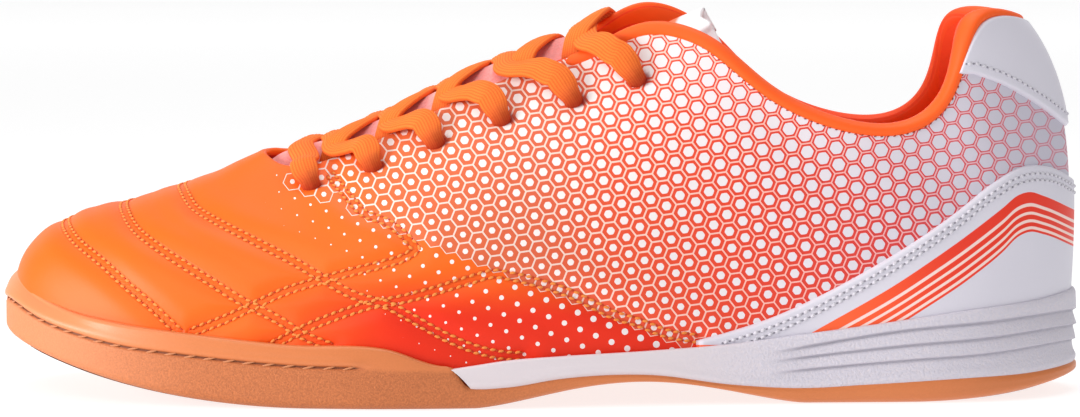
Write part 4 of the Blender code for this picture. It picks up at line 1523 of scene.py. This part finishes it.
def white_leather(name, striped):
    """White leather with a lilac cast, with or without the counter's stripes."""
    material, wire, place = new_finish(name)
    cloud = wire.noise(place, scale=30.0)
    shade = (cloud * 0.5).mix(colour("white"), tint("white_cloud"))
    if striped:
        below = wire.number("stripe")
        along, _ = place.split()
        ink = along.fade(*[edge * MM for edge in STRIPE_FADE]).mix(tint("stripe_front"), tint("stripe_back"))
        gaps = stripe_band(below, STRIPES[0][1] + STRIPE_SOFT, STRIPES[-1][1] - STRIPE_SOFT, STRIPE_SOFT)
        shade = gaps.mix(shade, tint("stripe_gap"))
        for top, bottom in STRIPES:
            shade = stripe_band(below, top, bottom, STRIPE_SOFT).mix(shade, ink)
    return set_finish(material, base_color=shade, roughness=0.46, normal=leather_grain(wire, place),
                      coat_weight=0.04, coat_roughness=0.4)


# Sole insets in mm, from its outer line
TREAD_INSET = 4.0
EDGE_INSET = 1.0
RIM_OUTER_INSET = 0.3
RIM_INNER_INSET = 1.8
# The midsole: its grid, then mm: slope of its front end over the run of a section, rounded rim and lower lip
MIDSOLE_COLUMNS = 340
WALL_ROWS = 90
RIM_ROWS = 6
WALL_PART = WALL_ROWS / (WALL_ROWS + RIM_ROWS)
MIDSOLE_SLANT = 5.0
SECTION_RUN = 22.0
RIM_ROUND = 0.9
RIM_ROUND_START = 0.90
RIM_WIDTH = 3.0
RIM_DIP = 3.0
LIP_HEIGHT = 1.6
LIP_LEVEL = 0.8
LIP_PROUD = 0.7
# Its grooves in pixels of the photo, and their depth in mm, then where the painted shade lies below each
# groove and how wide it is, in pixels
GROOVES = (
    ((770, 353), (797, 348), (900, 331), (995, 321), (1075, 309)),
    ((755, 363), (780, 360), (900, 346), (995, 337), (1075, 324)),
    ((750, 376), (775, 373), (900, 361), (995, 353), (1075, 339)),
)
GROOVE_FADE = (765.0, 815.0)
GROOVE_DEPTH = 1.1
GROOVE_STEP = 2.6
GROOVE_RUN = 14.0
CREVICE_SHADE_BELOW = 0.8
CREVICE_SHADE_WIDTH = 1.7
# Columns of the photo between which the smooth foam turns to stippled foam
STIPPLE_COLUMNS = (640.0, 800.0)


def midsole_bottom(x):
    """Return the underside of the midsole's visible wall."""
    return plate_height(x) + GAP


def midsole_surface(across, up):
    """Return the midsole's wall from its lower lip to the rim and into the shoe."""
    wall = part_of(up, 0.0, WALL_PART)
    over = part_of(up, WALL_PART, 1.0)
    start = section_at(JOIN_X + GAP) + (1.0 - wall) * MIDSOLE_SLANT / SECTION_RUN
    place = round_heel(start, across)
    x = RING(place)[:, 0]
    bottom = midsole_bottom(x)
    height = bottom + wall * (rim_height(x) - bottom)
    belly = EDGE_INSET * (1.0 - np.sin(math.pi * np.clip(wall, 0.0, 0.5)))
    upright = RIM_OUTER_INSET * part_of(wall, 0.5, 1.0)
    rounded = RIM_ROUND * (1.0 - np.sqrt(1.0 - np.square(part_of(wall, RIM_ROUND_START, 1.0))))
    lip = LIP_PROUD * bell((height - bottom - LIP_LEVEL) / LIP_HEIGHT)
    plan, _ = outline(place, belly + upright + rounded - lip + RIM_WIDTH * over)
    return stack(plan, height - RIM_DIP * np.square(over))


def make_midsole():
    """Foam wedge with a lip at its lower edge and three moulded grooves towards the heel, with painted shade
    below each groove's step.
    """
    mesh, _, up, points = mapped_mesh("midsole", MIDSOLE_COLUMNS, WALL_ROWS + RIM_ROWS, midsole_surface)
    column, row = photo_place(outer_side(points)).T
    strength = soft_step(part_of(column, *GROOVE_FADE))
    offset = np.zeros(len(points))
    crevice = np.zeros(len(points))
    for groove in GROOVES:
        below = row - read_table(groove, column)
        fading = np.clip(1.0 - below / GROOVE_RUN, 0.0, 1.0)
        offset -= GROOVE_DEPTH * soft_step(below / GROOVE_STEP + 0.5) * fading
        # Painted shade in the crevice below each groove's step
        crevice += bell((below - CREVICE_SHADE_BELOW) / CREVICE_SHADE_WIDTH)
    offset *= strength * (up < WALL_PART)
    place_points(mesh, points + offset[:, None] * unit(outer_normals(mesh)))
    set_number(mesh, "rough", soft_step(part_of(column, *STIPPLE_COLUMNS)))
    set_number(mesh, "crevice", crevice * strength)
    add_piece("midsole_foam", mesh, [foam_finish()], ["midsole"], "white_foam")


def outer_normals(mesh):
    """Return a mesh's point normals."""
    mesh.update()
    flat = np.empty(3 * len(mesh.vertices))
    mesh.vertex_normals.foreach_get("vector", flat)
    return flat.reshape(-1, 3)


def stippled(wire, place, scale, cloud, shares):
    """Return stipple, and the share of a second colour that stipple and clouds bring to a rough surface."""
    rough = wire.number("rough")
    stipple = wire.noise(place, scale=scale, roughness=0.6)
    from_rough, from_cloud, from_stipple, everywhere = shares
    grain = (stipple - 0.5) * (rough * from_stipple + everywhere)
    return stipple, (rough * from_rough + cloud * from_cloud + grain).least(1.0)


# Foam: scale of its stipple, and the second colour's shares from roughness, clouds, rough and even stipple
FOAM_STIPPLE = 1500.0
FOAM_SHARES = (0.75, 0.2, 1.6, 0.2)
# How dark the painted shade in its crevices is, and the relief of rough and of smooth foam
CREVICE_SHADE_STRENGTH = 0.6
FOAM_RELIEF = 0.85
SMOOTH_FOAM_RELIEF = 0.15


def foam_finish():
    """Moulded foam, smooth at the waist and stippled towards the heel, with painted shade in the crevices
    below its grooves.
    """
    material, wire, place = new_finish("foam_finish")
    cloud = wire.noise(place, scale=45.0)
    stipple, darker_share = stippled(wire, place, FOAM_STIPPLE, cloud, FOAM_SHARES)
    shade = darker_share.mix(colour("foam"), tint("foam_stipple"))
    # Painted shade darkens the crevices below the grooves
    crevice = wire.number("crevice").least(1.0) * CREVICE_SHADE_STRENGTH
    relief = stipple * (wire.number("rough") * FOAM_RELIEF + SMOOTH_FOAM_RELIEF)
    return set_finish(material, base_color=crevice.mix(shade, tint("foam_crevice_shade")), roughness=0.55,
                      normal=wire.bump(relief, strength=0.7, distance=0.35))


# The gum outsole: its grid, and the parts of its rows where the foot's corner ends and the rim starts
OUTSOLE_COLUMNS = 480
OUTSOLE_ROWS = 56
FOOT_PART = 0.14
RIM_PART = 0.82
# Its shape in mm: rounded lower corner, hollow of the upper wall, lean of the toe, lip, and depth of the cup
CORNER_RADIUS = 2.4
CORNER_SHARE = 0.45
WALL_HOLLOW = 0.4
TOE_LEAN = 2.6
TOE_LEAN_START = -108.0
TOE_LEAN_RUN = 30.0
LIP_ROUND = 0.7
LIP_OVERLAP = 0.5
LIP_TURN = 1.6
CUP_STEP = 0.5
CUP_DEPTH = 6.0
# The sewn groove of its rim in pixels of the photo, its depth in mm, and the swell above it
SEWN_GROOVE = ((-20, 285), (7, 297.5), (35, 317), (84, 337), (123, 347), (168, 353.6), (220, 360), (300, 367),
               (365, 369), (400, 371))
SEWN_END = (350.0, 372.0)
SEWN_DEPTH = 0.9
SEWN_WIDTH = 1.7
SWELL_HEIGHT = 0.35
SWELL_ABOVE = 6.0
SWELL_WIDTH = 5.0
# Its stipple: from pixels above the groove downwards, and fading out behind the ball, in mm
STIPPLE_ROWS = (-2.0, 4.0)
STIPPLE_END = (-35.0, 25.0)
# The tread: grid, then mm: zigzag ribs, plain border with its channel, and the smooth waist
TREAD_ALONG = 330
TREAD_ACROSS = 100
TREAD_END = 0.02
TREAD_DEPTH = 1.4
TREAD_PITCH = 7.0
TREAD_ZIG = 9.0
TREAD_RIB = 0.62
TREAD_SLOPE = 0.2
TREAD_BORDER = 5.0
TREAD_BORDER_EDGE = 1.2
TREAD_CHANNEL = 0.9
TREAD_STIPPLE = 0.6
WAIST_MIDDLE = 26.0
WAIST_HALF = 34.0
WAIST_FADE = 6.0


def outsole_top(x):
    """Return the top line of the gum: the cup's rim in front, and the plate under the midsole."""
    back = soft_step((x - JOIN_X) / MIDSOLE_SLANT)
    return rim_height(x) + back * (plate_height(x) - rim_height(x))


def outsole_surface(across, up):
    """Return the outsole's wall from the tread's edge over the rim and into the shoe."""
    place = whole_ring(across)
    x = RING(place)[:, 0]
    low = ground_height(x)
    top = outsole_top(x)
    wall = part_of(up, FOOT_PART, RIM_PART)
    over = part_of(up, RIM_PART, 1.0)
    upper_half = part_of(wall, 0.5, 1.0)
    corner = np.minimum(CORNER_RADIUS, CORNER_SHARE * (top - low))
    bend = math.pi / 2.0 * part_of(up, 0.0, FOOT_PART)
    toe = soft_step((TOE_LEAN_START - x) / TOE_LEAN_RUN)
    inset = TREAD_INSET * (1.0 - np.sin(bend)) + WALL_HOLLOW * upper_half**2 + TOE_LEAN * toe * upper_half**3
    foot_height = low + corner * (1.0 - np.cos(bend))
    height = np.where(up > FOOT_PART, low + corner + wall * (top - low - corner), foot_height)
    turn = math.pi * np.clip(over * LIP_TURN, 0.0, 1.0)
    down = np.clip(over * (LIP_TURN + 1.0) - LIP_TURN, 0.0, 1.0)
    rim = (lip_reach(place) - inset) / 2.0
    plan, _ = outline(place, inset + rim * (1.0 - np.cos(turn)) + CUP_STEP * down)
    return stack(plan, height + LIP_ROUND * np.sin(turn) - CUP_DEPTH * down * (x < JOIN_X))


def lip_reach(place):
    """Return how far in from the sole's outer line the lip's inner edge meets the upper."""
    columns = np.unique(place)
    share = share_at(columns, rim_height)
    point = upper_skin(columns, share)
    line, outward = outline(columns, 0.0)
    reach = np.sum((line - point[:, :2]) * outward, axis=-1) + LIP_OVERLAP
    back = soft_step((RING(columns)[:, 0] - JOIN_X) / MIDSOLE_SLANT + 1.0)
    return np.interp(place, columns, reach + back * (RIM_INNER_INSET - reach))


def make_outsole():
    """Gum cup with a sewn groove round the toe, the plate under the midsole, and the tread underneath."""
    mesh, _, up, points = mapped_mesh("outsole", OUTSOLE_COLUMNS, OUTSOLE_ROWS, outsole_surface)
    column, row = photo_place(outer_side(points)).T
    below = row - read_table(SEWN_GROOVE, column)
    near = (1.0 - soft_step(part_of(column, *SEWN_END))) * (up < RIM_PART)
    sunk = near * bell(below / SEWN_WIDTH) * (up > FOOT_PART)
    swell = near * bell((below + SWELL_ABOVE) / SWELL_WIDTH)
    points = points + (SWELL_HEIGHT * swell - SEWN_DEPTH * sunk)[:, None] * outer_normals(mesh)
    place_points(mesh, points)
    # Mask of the sewn groove, which the gum paints with dark shade
    set_number(mesh, "sewn", sunk)
    # Mask of the stipple, which also darkens the forefoot's lower wall with painted shade
    forefoot = 1.0 - soft_step(part_of(points[:, 0], *STIPPLE_END))
    set_number(mesh, "rough", soft_step(part_of(below, *STIPPLE_ROWS)) * forefoot)
    finish = gum_finish()
    add_piece("outsole_cup", mesh, [finish], ["outsole"], "gum_rubber", merge=0.02)
    tread, _, _, points = mapped_mesh("tread", TREAD_ALONG, TREAD_ACROSS, tread_surface)
    set_number(tread, "sewn", np.zeros(len(points)))
    set_number(tread, "rough", np.full(len(points), TREAD_STIPPLE))
    add_piece("outsole_tread", tread, [finish], slot="gum_rubber", merge=0.02)


def across_sole(along, across, end, inset):
    """Return plan points inside the sole's outline, and how far they lie from its nearer side."""
    section = end + along * (HEEL_SECTION - 2.0 * end)
    near, _ = outline(section, inset)
    far, _ = outline(RING_SECTIONS - section, inset)
    from_side = np.minimum(across, 1.0 - across) * np.linalg.norm(far - near, axis=-1)
    return far + across[:, None] * (near - far), from_side


def tread_surface(along, across):
    """Return the underside: zigzag ribs inside a plain border, with the waist left smooth."""
    plan, from_side = across_sole(along, across, TREAD_END, TREAD_INSET)
    x = plan[:, 0]
    from_end = np.minimum(x - TOE_X, HEEL_X - x) - TREAD_INSET
    from_border = np.minimum(from_side, from_end) - TREAD_BORDER
    zig = np.abs(np.mod(plan[:, 1] / TREAD_ZIG, 2.0) - 1.0) * TREAD_ZIG
    wave = np.abs(np.mod((x + zig) / TREAD_PITCH, 1.0) - 0.5) * 2.0
    groove = soft_step((wave - TREAD_RIB) / TREAD_SLOPE) * soft_step(from_border / TREAD_BORDER_EDGE)
    channel = bell(from_border / TREAD_CHANNEL)
    waist = soft_step((np.abs(x - WAIST_MIDDLE) - WAIST_HALF) / WAIST_FADE)
    return stack(plan, ground_height(x) + TREAD_DEPTH * np.maximum(groove, channel) * waist)


# Where painted light makes the gum paler towards the toe, in mm, and by how much, and how dark the painted
# shade in the sewn groove is
PAINTED_TOE_LIGHT = (-82.0, -128.0)
PAINTED_TOE_LIGHT_SHARE = 0.45
SEWN_SHADE = 1.15
# Gum: scale of its stipple, and the second colour's shares from roughness, clouds, rough and even stipple;
# the share from roughness is painted shade on the forefoot's lower wall
GUM_STIPPLE = 2100.0
GUM_SHARES = (0.55, 0.25, 1.5, 0.3)
# Its roughness and relief where it is smooth, and what stippled gum adds
GUM_ROUGH = 0.42
STIPPLE_ROUGH = 0.22
GUM_RELIEF = 0.2
STIPPLE_RELIEF = 0.8


def gum_finish():
    """Matte gum rubber, stippled at the forefoot and smoother at the heel, with painted shade on the
    forefoot's lower wall and in the sewn groove and painted light towards the toe.
    """
    material, wire, place = new_finish("gum_finish")
    cloud = wire.noise(place, scale=35.0, detail=3.0)
    stipple, darker_share = stippled(wire, place, GUM_STIPPLE, cloud, GUM_SHARES)
    rough = wire.number("rough")
    # The stipple's own darker specks and, where rough, painted shade on the forefoot's lower wall
    shade = darker_share.mix(colour("gum"), tint("gum_stipple_and_shade"))
    along, _ = place.split()
    # Painted light pales the gum towards the toe
    toe = along.fade(*[edge * MM for edge in PAINTED_TOE_LIGHT]) * PAINTED_TOE_LIGHT_SHARE
    # Painted shade darkens the sewn groove
    groove = (wire.number("sewn") * SEWN_SHADE).least(1.0)
    sewn = (groove * groove).mix(toe.mix(shade, tint("gum_toe_painted_light")), tint("gum_groove_shade"))
    relief = stipple * (rough * STIPPLE_RELIEF + GUM_RELIEF)
    return set_finish(material, base_color=sewn, roughness=GUM_ROUGH + rough * STIPPLE_ROUGH,
                      normal=wire.bump(relief, strength=0.6, distance=0.3))


# The insole: grid and sections left free at its ends, then mm: inset, thickness, rounded edge and heel dish
INSOLE_ALONG = 150
INSOLE_ACROSS = 48
INSOLE_END = 0.15
INSOLE_INSET = 4.9
INSOLE_THICKNESS = 4.0
INSOLE_ROUND = 2.0
DISH_DEPTH = 0.8
DISH_SIDE = 18.0
DISH_RUN = (20.0, 90.0)


def insole_surface(along, across):
    """Return the sock board's top, dished a little towards the heel, with its edge turned down."""
    plan, side = across_sole(along, across, INSOLE_END, INSOLE_INSET)
    x = plan[:, 0]
    full = np.sqrt(1.0 - np.square(1.0 - np.clip(side / INSOLE_ROUND, 0.0, 1.0)))
    dish = DISH_DEPTH * soft_step(side / DISH_SIDE) * soft_step(part_of(x, *DISH_RUN))
    return stack(plan, floor_height(x) + GAP + INSOLE_THICKNESS * full - dish)


def make_insole():
    """Fabric sock board on the floor of the shoe."""
    mesh, _, _, _ = mapped_mesh("insole", INSOLE_ALONG, INSOLE_ACROSS, insole_surface)
    bm = bmesh.new()
    bm.from_mesh(mesh)
    bmesh.ops.reverse_faces(bm, faces=bm.faces[:])
    bm.to_mesh(mesh)
    bm.free()
    add_piece("insole_board", mesh, [lining_fabric()], ["insole"], "lining_fabric", merge=0.02)


# Stitches, in mm: a thread's half length as a share of its pitch, half sizes of threads and of needle holes,
# which are dark grains of painted shade, and slant
THREAD_SHARE = 0.40
THREAD_WIDTH = 0.42
THREAD_HEIGHT = 0.24
WHITE_GRAIN = (0.80, 0.52, 0.42)
COLLAR_GRAIN = (0.42, 0.18, 0.16)
RIM_GRAIN = (2.1, 0.34, 0.30)
HOLE_SIZE = (0.30, 0.30, 0.10)
THREAD_SLANT = math.radians(16.0)
THREAD_DARK = 0.86
# How high rows lie on the vamp, the overlays and the collar, in mm
VAMP_LIFT = 0.12
OVERLAY_LIFT = OVERLAY_THICKNESS + 0.05
COLLAR_LIFT = 0.15
# Rows on counter, tab, collar and rim: distance from the edge and pitch in mm, and points along a row
COUNTER_ROWS_DOWN = (2.3, 4.0)
COUNTER_PITCH = 2.0
COUNTER_ROW_START = COUNTER_START + 0.3
COUNTER_SAMPLES = 500
TAB_ROW_UP = 2.7
TAB_PITCH = 2.1
TAB_ROW_START = TAB_START + 0.2
TAB_SAMPLES = 300
COLLAR_PITCH = 1.7
COLLAR_ROW_DOWN = 2.55
COLLAR_SAMPLES = 900
RIM_PITCH = 5.2
RIM_SAMPLES = 700
# Where the rim's groove is searched: sections round the toe, inset in mm, shares of the wall and their number
RIM_SECTIONS = 6.6
RIM_LINE_INSET = 0.45
RIM_SHARES = (0.05, 0.98)
RIM_LEVELS = 120


def joined_grains(name, centres, runs, normals, half_sizes):
    """Make one mesh of small rounded grains, each laid along a run on a surface."""
    bm = bmesh.new()
    bmesh.ops.create_uvsphere(bm, u_segments=6, v_segments=4, radius=1.0)
    grain = np.array([vertex.co for vertex in bm.verts])
    faces = [[vertex.index for vertex in face.verts] for face in bm.faces]
    bm.free()
    runs = unit(runs)
    sides = unit(np.cross(normals, runs))
    tops = np.cross(runs, sides)
    axes = np.stack([runs, sides, tops], axis=1)
    scaled = grain * np.asarray(half_sizes)
    points = centres[:, None, :] + np.einsum("vk,nkc->nvc", scaled, axes)
    every = []
    for index in range(len(centres)):
        every += [[corner + index * len(grain) for corner in face] for face in faces]
    mesh = bpy.data.meshes.new(name)
    mesh.from_pydata((points.reshape(-1, 3) * MM).tolist(), [], every)
    return mesh


def stitch_row(line, normals, pitch):
    """Return middles, directions and normals of one row's stitches, and the same for its needle holes."""
    joint = np.concatenate([line, normals], axis=1)
    even = resample(joint, pitch / 2.0, np.interp)
    run = np.gradient(even[:, :3], axis=0)
    normal = unit(even[:, 3:])
    side = unit(np.cross(normal, run))
    slanted = unit(run) * math.cos(THREAD_SLANT) + side * math.sin(THREAD_SLANT)
    threads = (even[1::2, :3], slanted[1::2], normal[1::2])
    holes = (even[::2, :3], unit(run)[::2], normal[::2])
    return threads, holes


def double_rows(path, gap):
    """Return the two rows of a double seam on the quilted leather, with their normals."""
    points = upper_skin(path[:, 0], path[:, 1])
    normals, _ = upper_frame(path[:, 0], path[:, 1])
    run = unit(np.gradient(points, axis=0))
    side = unit(np.cross(normals, run))
    lift = seam_pull(gap / 2.0) + VAMP_LIFT
    points = points + lift * normals + toe_trim(points, normals)
    return [(points + way * gap / 2.0 * side, normals) for way in (-1.0, 1.0)]


def row_on_overlay(start, line, count):
    """Return a row on an overlay round the heel, given as a height over X, with its normals."""
    place = np.linspace(start, RING_SECTIONS - start, count)
    share = share_at(place, line)
    normal, _ = upper_frame(place, share)
    return upper_skin(place, share) + OVERLAY_LIFT * normal, normal


def rim_line():
    """Return the sewn groove of the outsole's rim, round the toe, with its normals."""
    place = np.linspace(-RIM_SECTIONS, RIM_SECTIONS, RIM_SAMPLES)
    plan, outward = outline(place, RIM_LINE_INSET)
    x = RING(place)[:, 0]
    low = ground_height(x)
    heights = low + np.linspace(*RIM_SHARES, RIM_LEVELS)[:, None] * (outsole_top(x) - low)
    points = stack(np.broadcast_to(plan, (RIM_LEVELS, *plan.shape)), heights)
    seen = photo_place(outer_side(points))
    best = np.argmin(np.abs(seen[..., 1] - read_table(SEWN_GROOVE, seen[..., 0])), axis=0)
    picks = np.arange(len(place))
    kept = seen[best, picks, 0] < SEWN_END[0]
    return points[best, picks][kept], stack(outward, 0.0)[kept]


def add_stitching(name, rows, pitch, half_sizes, slot, thread, hole=None):
    """Add one piece of threads and, where they show, one of needle holes as dark grains of painted shade, for
    rows of stitches.
    """
    threads, holes = zip(*[stitch_row(line, normals, pitch) for line, normals in rows])
    mesh = joined_grains(name, *[np.concatenate(parts) for parts in zip(*threads)], half_sizes)
    add_piece(f"{name}_thread", mesh, [thread], slot=slot)
    if hole:
        mesh = joined_grains(name, *[np.concatenate(parts) for parts in zip(*holes)], HOLE_SIZE)
        add_piece(f"{name}_holes", mesh, [hole], slot=slot)


def make_stitches():
    """Double rows on the vamp, rows on counter, tab and collar, and the thread in the rim's groove."""
    white_thread = thread_finish("white_thread")
    # Needle holes are dark grains of painted shade between the stitches
    grey_hole = thread_finish("grey_hole")
    rows = []
    for path in upper_seams():
        rows += double_rows(path, size("seam_gap"))
    pitch = size("stitch_pitch")
    add_stitching("vamp", rows, pitch, (THREAD_SHARE * pitch, THREAD_WIDTH, THREAD_HEIGHT), "orange_leather",
                  thread_finish("orange_thread"), thread_finish("orange_hole"))
    edge = edge_line(COUNTER_EDGE)
    rows = [row_on_overlay(COUNTER_ROW_START, lambda x: edge(x) - down, COUNTER_SAMPLES)
            for down in COUNTER_ROWS_DOWN]
    add_stitching("counter", rows, COUNTER_PITCH, WHITE_GRAIN, "white_leather", white_thread, grey_hole)
    tab_edge = edge_line(TAB_EDGE)
    rows = [row_on_overlay(TAB_ROW_START, lambda x: tab_edge(x) + TAB_ROW_UP, TAB_SAMPLES)]
    add_stitching("tab", rows, TAB_PITCH, WHITE_GRAIN, "white_leather", white_thread, grey_hole)
    place = round_heel(ROLL_START + ROLL_FADE, np.linspace(0.0, 1.0, COLLAR_SAMPLES))
    edge_points, normal, square = edge_frame(place)
    rows = [(edge_points - COLLAR_ROW_DOWN * square + COLLAR_LIFT * normal, normal)]
    add_stitching("collar", rows, COLLAR_PITCH, COLLAR_GRAIN, "lining_fabric", thread_finish("dark_thread"))
    add_stitching("rim", [rim_line()], RIM_PITCH, RIM_GRAIN, "gum_rubber", thread_finish("rim_thread"))


def thread_finish(name):
    """Twisted sewing thread of one colour, also used for the needle holes' painted shade."""
    material, wire, place = new_finish(name)
    twist = wire.noise(place, scale=2600.0)
    return set_finish(material, base_color=twist.mix(tint(name, THREAD_DARK), tint(name)), roughness=0.6,
                      normal=wire.bump(twist, strength=0.3, distance=0.1))


# Stage sizes in mm, its grid, and how bright paper and surroundings are
STAGE_WIDTH = 9000.0
STAGE_FRONT = -4500.0
STAGE_BACK = 4500.0
STAGE_HEIGHT = 2500.0
STAGE_BEND = 700.0
STAGE_COLUMNS = 2
STAGE_ROWS = 96
PAPER_GLOW = 0.78
WORLD_LIGHT = 0.36
# Lights: places, aims and sizes in metres, strengths in watts
Light = namedtuple("Light", "name place aim extent watts tint")
LIGHTS = (
    Light("key_light", (-0.55, -0.95, 1.15), (-0.02, 0.0, 0.05), (0.9, 0.7), 5.6, (1.0, 0.98, 0.96)),
    Light("fill_light", (0.75, -1.2, 0.55), (0.05, 0.0, 0.05), (1.0, 0.8), 1.7, (0.97, 0.98, 1.0)),
    Light("toe_light", (-0.95, -0.35, 0.22), (-0.12, 0.0, 0.04), (0.42, 0.42), 8.4, (1.0, 0.97, 0.96)),
    Light("collar_light", (0.03, 0.0, 0.34), (0.11, 0.0, 0.08), (0.12, 0.10), 0.10, (1.0, 0.98, 0.96)),
    Light("top_light", (0.05, 0.25, 1.2), (0.0, 0.0, 0.05), (1.0, 0.6), 5.6, (1.0, 1.0, 1.0)),
)


def stage_surface(across, up):
    """Return the floor that bends up into the backdrop."""
    straight = STAGE_BACK - STAGE_FRONT
    bend = STAGE_BEND * math.pi / 2.0
    run = up * (straight + bend + STAGE_HEIGHT)
    turn = np.clip((run - straight) / STAGE_BEND, 0.0, math.pi / 2.0)
    climb = np.clip(run - straight - bend, 0.0, None)
    depth = STAGE_FRONT + np.minimum(run, straight) + STAGE_BEND * np.sin(turn)
    height = STAGE_BEND * (1.0 - np.cos(turn)) + climb
    return np.stack([(across - 0.5) * STAGE_WIDTH, depth, height], axis=-1)


def stage_finish():
    """Pale studio paper that glows a little."""
    material, wire, place = new_finish("studio_paper")
    shade = wire.noise(place, scale=60.0).mix(tint("paper_fibre"), tint("paper"))
    return set_finish(material, base_color=shade, roughness=0.9, emission_color=(1.0, 1.0, 1.0, 1.0),
                      emission_strength=PAPER_GLOW)


def add_light(light):
    """Add a soft rectangular light that points at a place."""
    data = bpy.data.lights.new(light.name, "AREA")
    data.shape = "RECTANGLE"
    data.size, data.size_y = light.extent
    data.energy = light.watts
    data.color = light.tint
    lamp = bpy.data.objects.new(light.name, data)
    lamp.location = light.place
    lamp.rotation_euler = (Vector(light.aim) - Vector(light.place)).to_track_quat("-Z", "Y").to_euler()
    bpy.context.scene.collection.objects.link(lamp)


def make_camera():
    """Put the camera at the photo's viewpoint."""
    data = bpy.data.cameras.new("camera")
    data.sensor_width = SENSOR
    data.lens = SENSOR * EYE_DISTANCE / (PHOTO_WIDTH * PIXEL)
    camera = bpy.data.objects.new("camera", data)
    eye = Vector((0.0, -math.cos(EYE_ELEVATION) * EYE_DISTANCE,
                  AXIS_LEVEL + math.sin(EYE_ELEVATION) * EYE_DISTANCE)) * MM
    centre_level = AXIS_LEVEL - (PHOTO_HEIGHT / 2.0 - AXIS_ROW) * PIXEL / math.cos(EYE_ELEVATION)
    aim = Vector((0.0, 0.0, centre_level * MM))
    camera.location = eye
    camera.rotation_euler = (aim - eye).to_track_quat("-Z", "Y").to_euler()
    bpy.context.scene.collection.objects.link(camera)
    bpy.context.scene.camera = camera


def make_stage():
    """Pale floor and backdrop, soft lights and the camera."""
    mesh, _, _, _ = mapped_mesh("stage", STAGE_COLUMNS, STAGE_ROWS, stage_surface)
    mesh.shade_smooth()
    mesh.materials.append(stage_finish())
    floor = bpy.data.objects.new("stage", mesh)
    bpy.context.scene.collection.objects.link(floor)
    floor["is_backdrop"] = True
    for light in LIGHTS:
        add_light(light)
    world = bpy.context.scene.world or bpy.data.worlds.new("studio")
    bpy.context.scene.world = world
    world.use_nodes = True
    background = world.node_tree.nodes["Background"]
    background.inputs["Color"].default_value = (1.0, 1.0, 1.0, 1.0)
    background.inputs["Strength"].default_value = WORLD_LIGHT
    bpy.context.scene.view_settings.view_transform = "Standard"
    make_camera()


class SHOE_OT_upper(bpy.types.Operator):
    """Build the upper's leather shell and lining"""
    bl_idname = "shoe.upper"
    bl_label = "Upper"

    def execute(self, context):
        make_upper()
        return {"FINISHED"}


class SHOE_OT_collar(bpy.types.Operator):
    """Build the collar's rolled edge"""
    bl_idname = "shoe.collar"
    bl_label = "Collar"

    def execute(self, context):
        make_collar()
        return {"FINISHED"}


class SHOE_OT_tongue(bpy.types.Operator):
    """Build the padded tongue"""
    bl_idname = "shoe.tongue"
    bl_label = "Tongue"

    def execute(self, context):
        make_tongue()
        return {"FINISHED"}


class SHOE_OT_laces(bpy.types.Operator):
    """Build the flat laces"""
    bl_idname = "shoe.laces"
    bl_label = "Laces"

    def execute(self, context):
        make_laces()
        return {"FINISHED"}


class SHOE_OT_heel(bpy.types.Operator):
    """Build the white counter and the white tab of the heel"""
    bl_idname = "shoe.heel"
    bl_label = "Heel Overlays"

    def execute(self, context):
        make_heel()
        return {"FINISHED"}


class SHOE_OT_midsole(bpy.types.Operator):
    """Build the foam midsole"""
    bl_idname = "shoe.midsole"
    bl_label = "Midsole"

    def execute(self, context):
        make_midsole()
        return {"FINISHED"}


class SHOE_OT_outsole(bpy.types.Operator):
    """Build the gum outsole and its tread"""
    bl_idname = "shoe.outsole"
    bl_label = "Outsole"

    def execute(self, context):
        make_outsole()
        return {"FINISHED"}


class SHOE_OT_insole(bpy.types.Operator):
    """Build the sock board"""
    bl_idname = "shoe.insole"
    bl_label = "Insole"

    def execute(self, context):
        make_insole()
        return {"FINISHED"}


class SHOE_OT_stitches(bpy.types.Operator):
    """Build all rows of stitches"""
    bl_idname = "shoe.stitches"
    bl_label = "Stitches"

    def execute(self, context):
        make_stitches()
        return {"FINISHED"}


class SHOE_OT_stage(bpy.types.Operator):
    """Build the floor, the lights and the camera"""
    bl_idname = "shoe.stage"
    bl_label = "Stage"

    def execute(self, context):
        make_stage()
        return {"FINISHED"}


OPERATORS = (SHOE_OT_upper, SHOE_OT_collar, SHOE_OT_tongue, SHOE_OT_laces, SHOE_OT_heel,
             SHOE_OT_midsole, SHOE_OT_outsole, SHOE_OT_insole, SHOE_OT_stitches, SHOE_OT_stage)


class SHOE_PT_panel(bpy.types.Panel):
    """Lists the pieces of the shoe with their sizes and colours"""
    bl_idname = "SHOE_PT_panel"
    bl_label = "Indoor Court Shoe"
    bl_space_type = "VIEW_3D"
    bl_region_type = "UI"
    bl_category = "Shoe"

    def draw(self, context):
        for group in (context.scene.shoe_sizes, context.scene.shoe_colours):
            for name in group.bl_rna.properties.keys():
                if name not in ("rna_type", "name"):
                    self.layout.prop(group, name)
        for operator in OPERATORS:
            self.layout.operator(operator.bl_idname)


CLASSES = (ShoeSizes, ShoeColours, *OPERATORS, SHOE_PT_panel)


def register():
    """Make the classes and the scene's settings known to Blender."""
    for each in CLASSES:
        bpy.utils.register_class(each)
    bpy.types.Scene.shoe_sizes = PointerProperty(type=ShoeSizes)
    bpy.types.Scene.shoe_colours = PointerProperty(type=ShoeColours)


def unregister():
    """Remove the classes and the scene's settings again."""
    del bpy.types.Scene.shoe_colours
    del bpy.types.Scene.shoe_sizes
    for each in reversed(CLASSES):
        bpy.utils.unregister_class(each)


def main():
    """Build every piece and work out the bounds of the frame and of the looks."""
    register()
    for operator in OPERATORS:
        group, name = operator.bl_idname.split(".")
        getattr(getattr(bpy.ops, group), name)()
    {"cad": CAD_BOX, "visual": [list(corner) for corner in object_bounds()]}


if __name__ == "__main__":
    main()
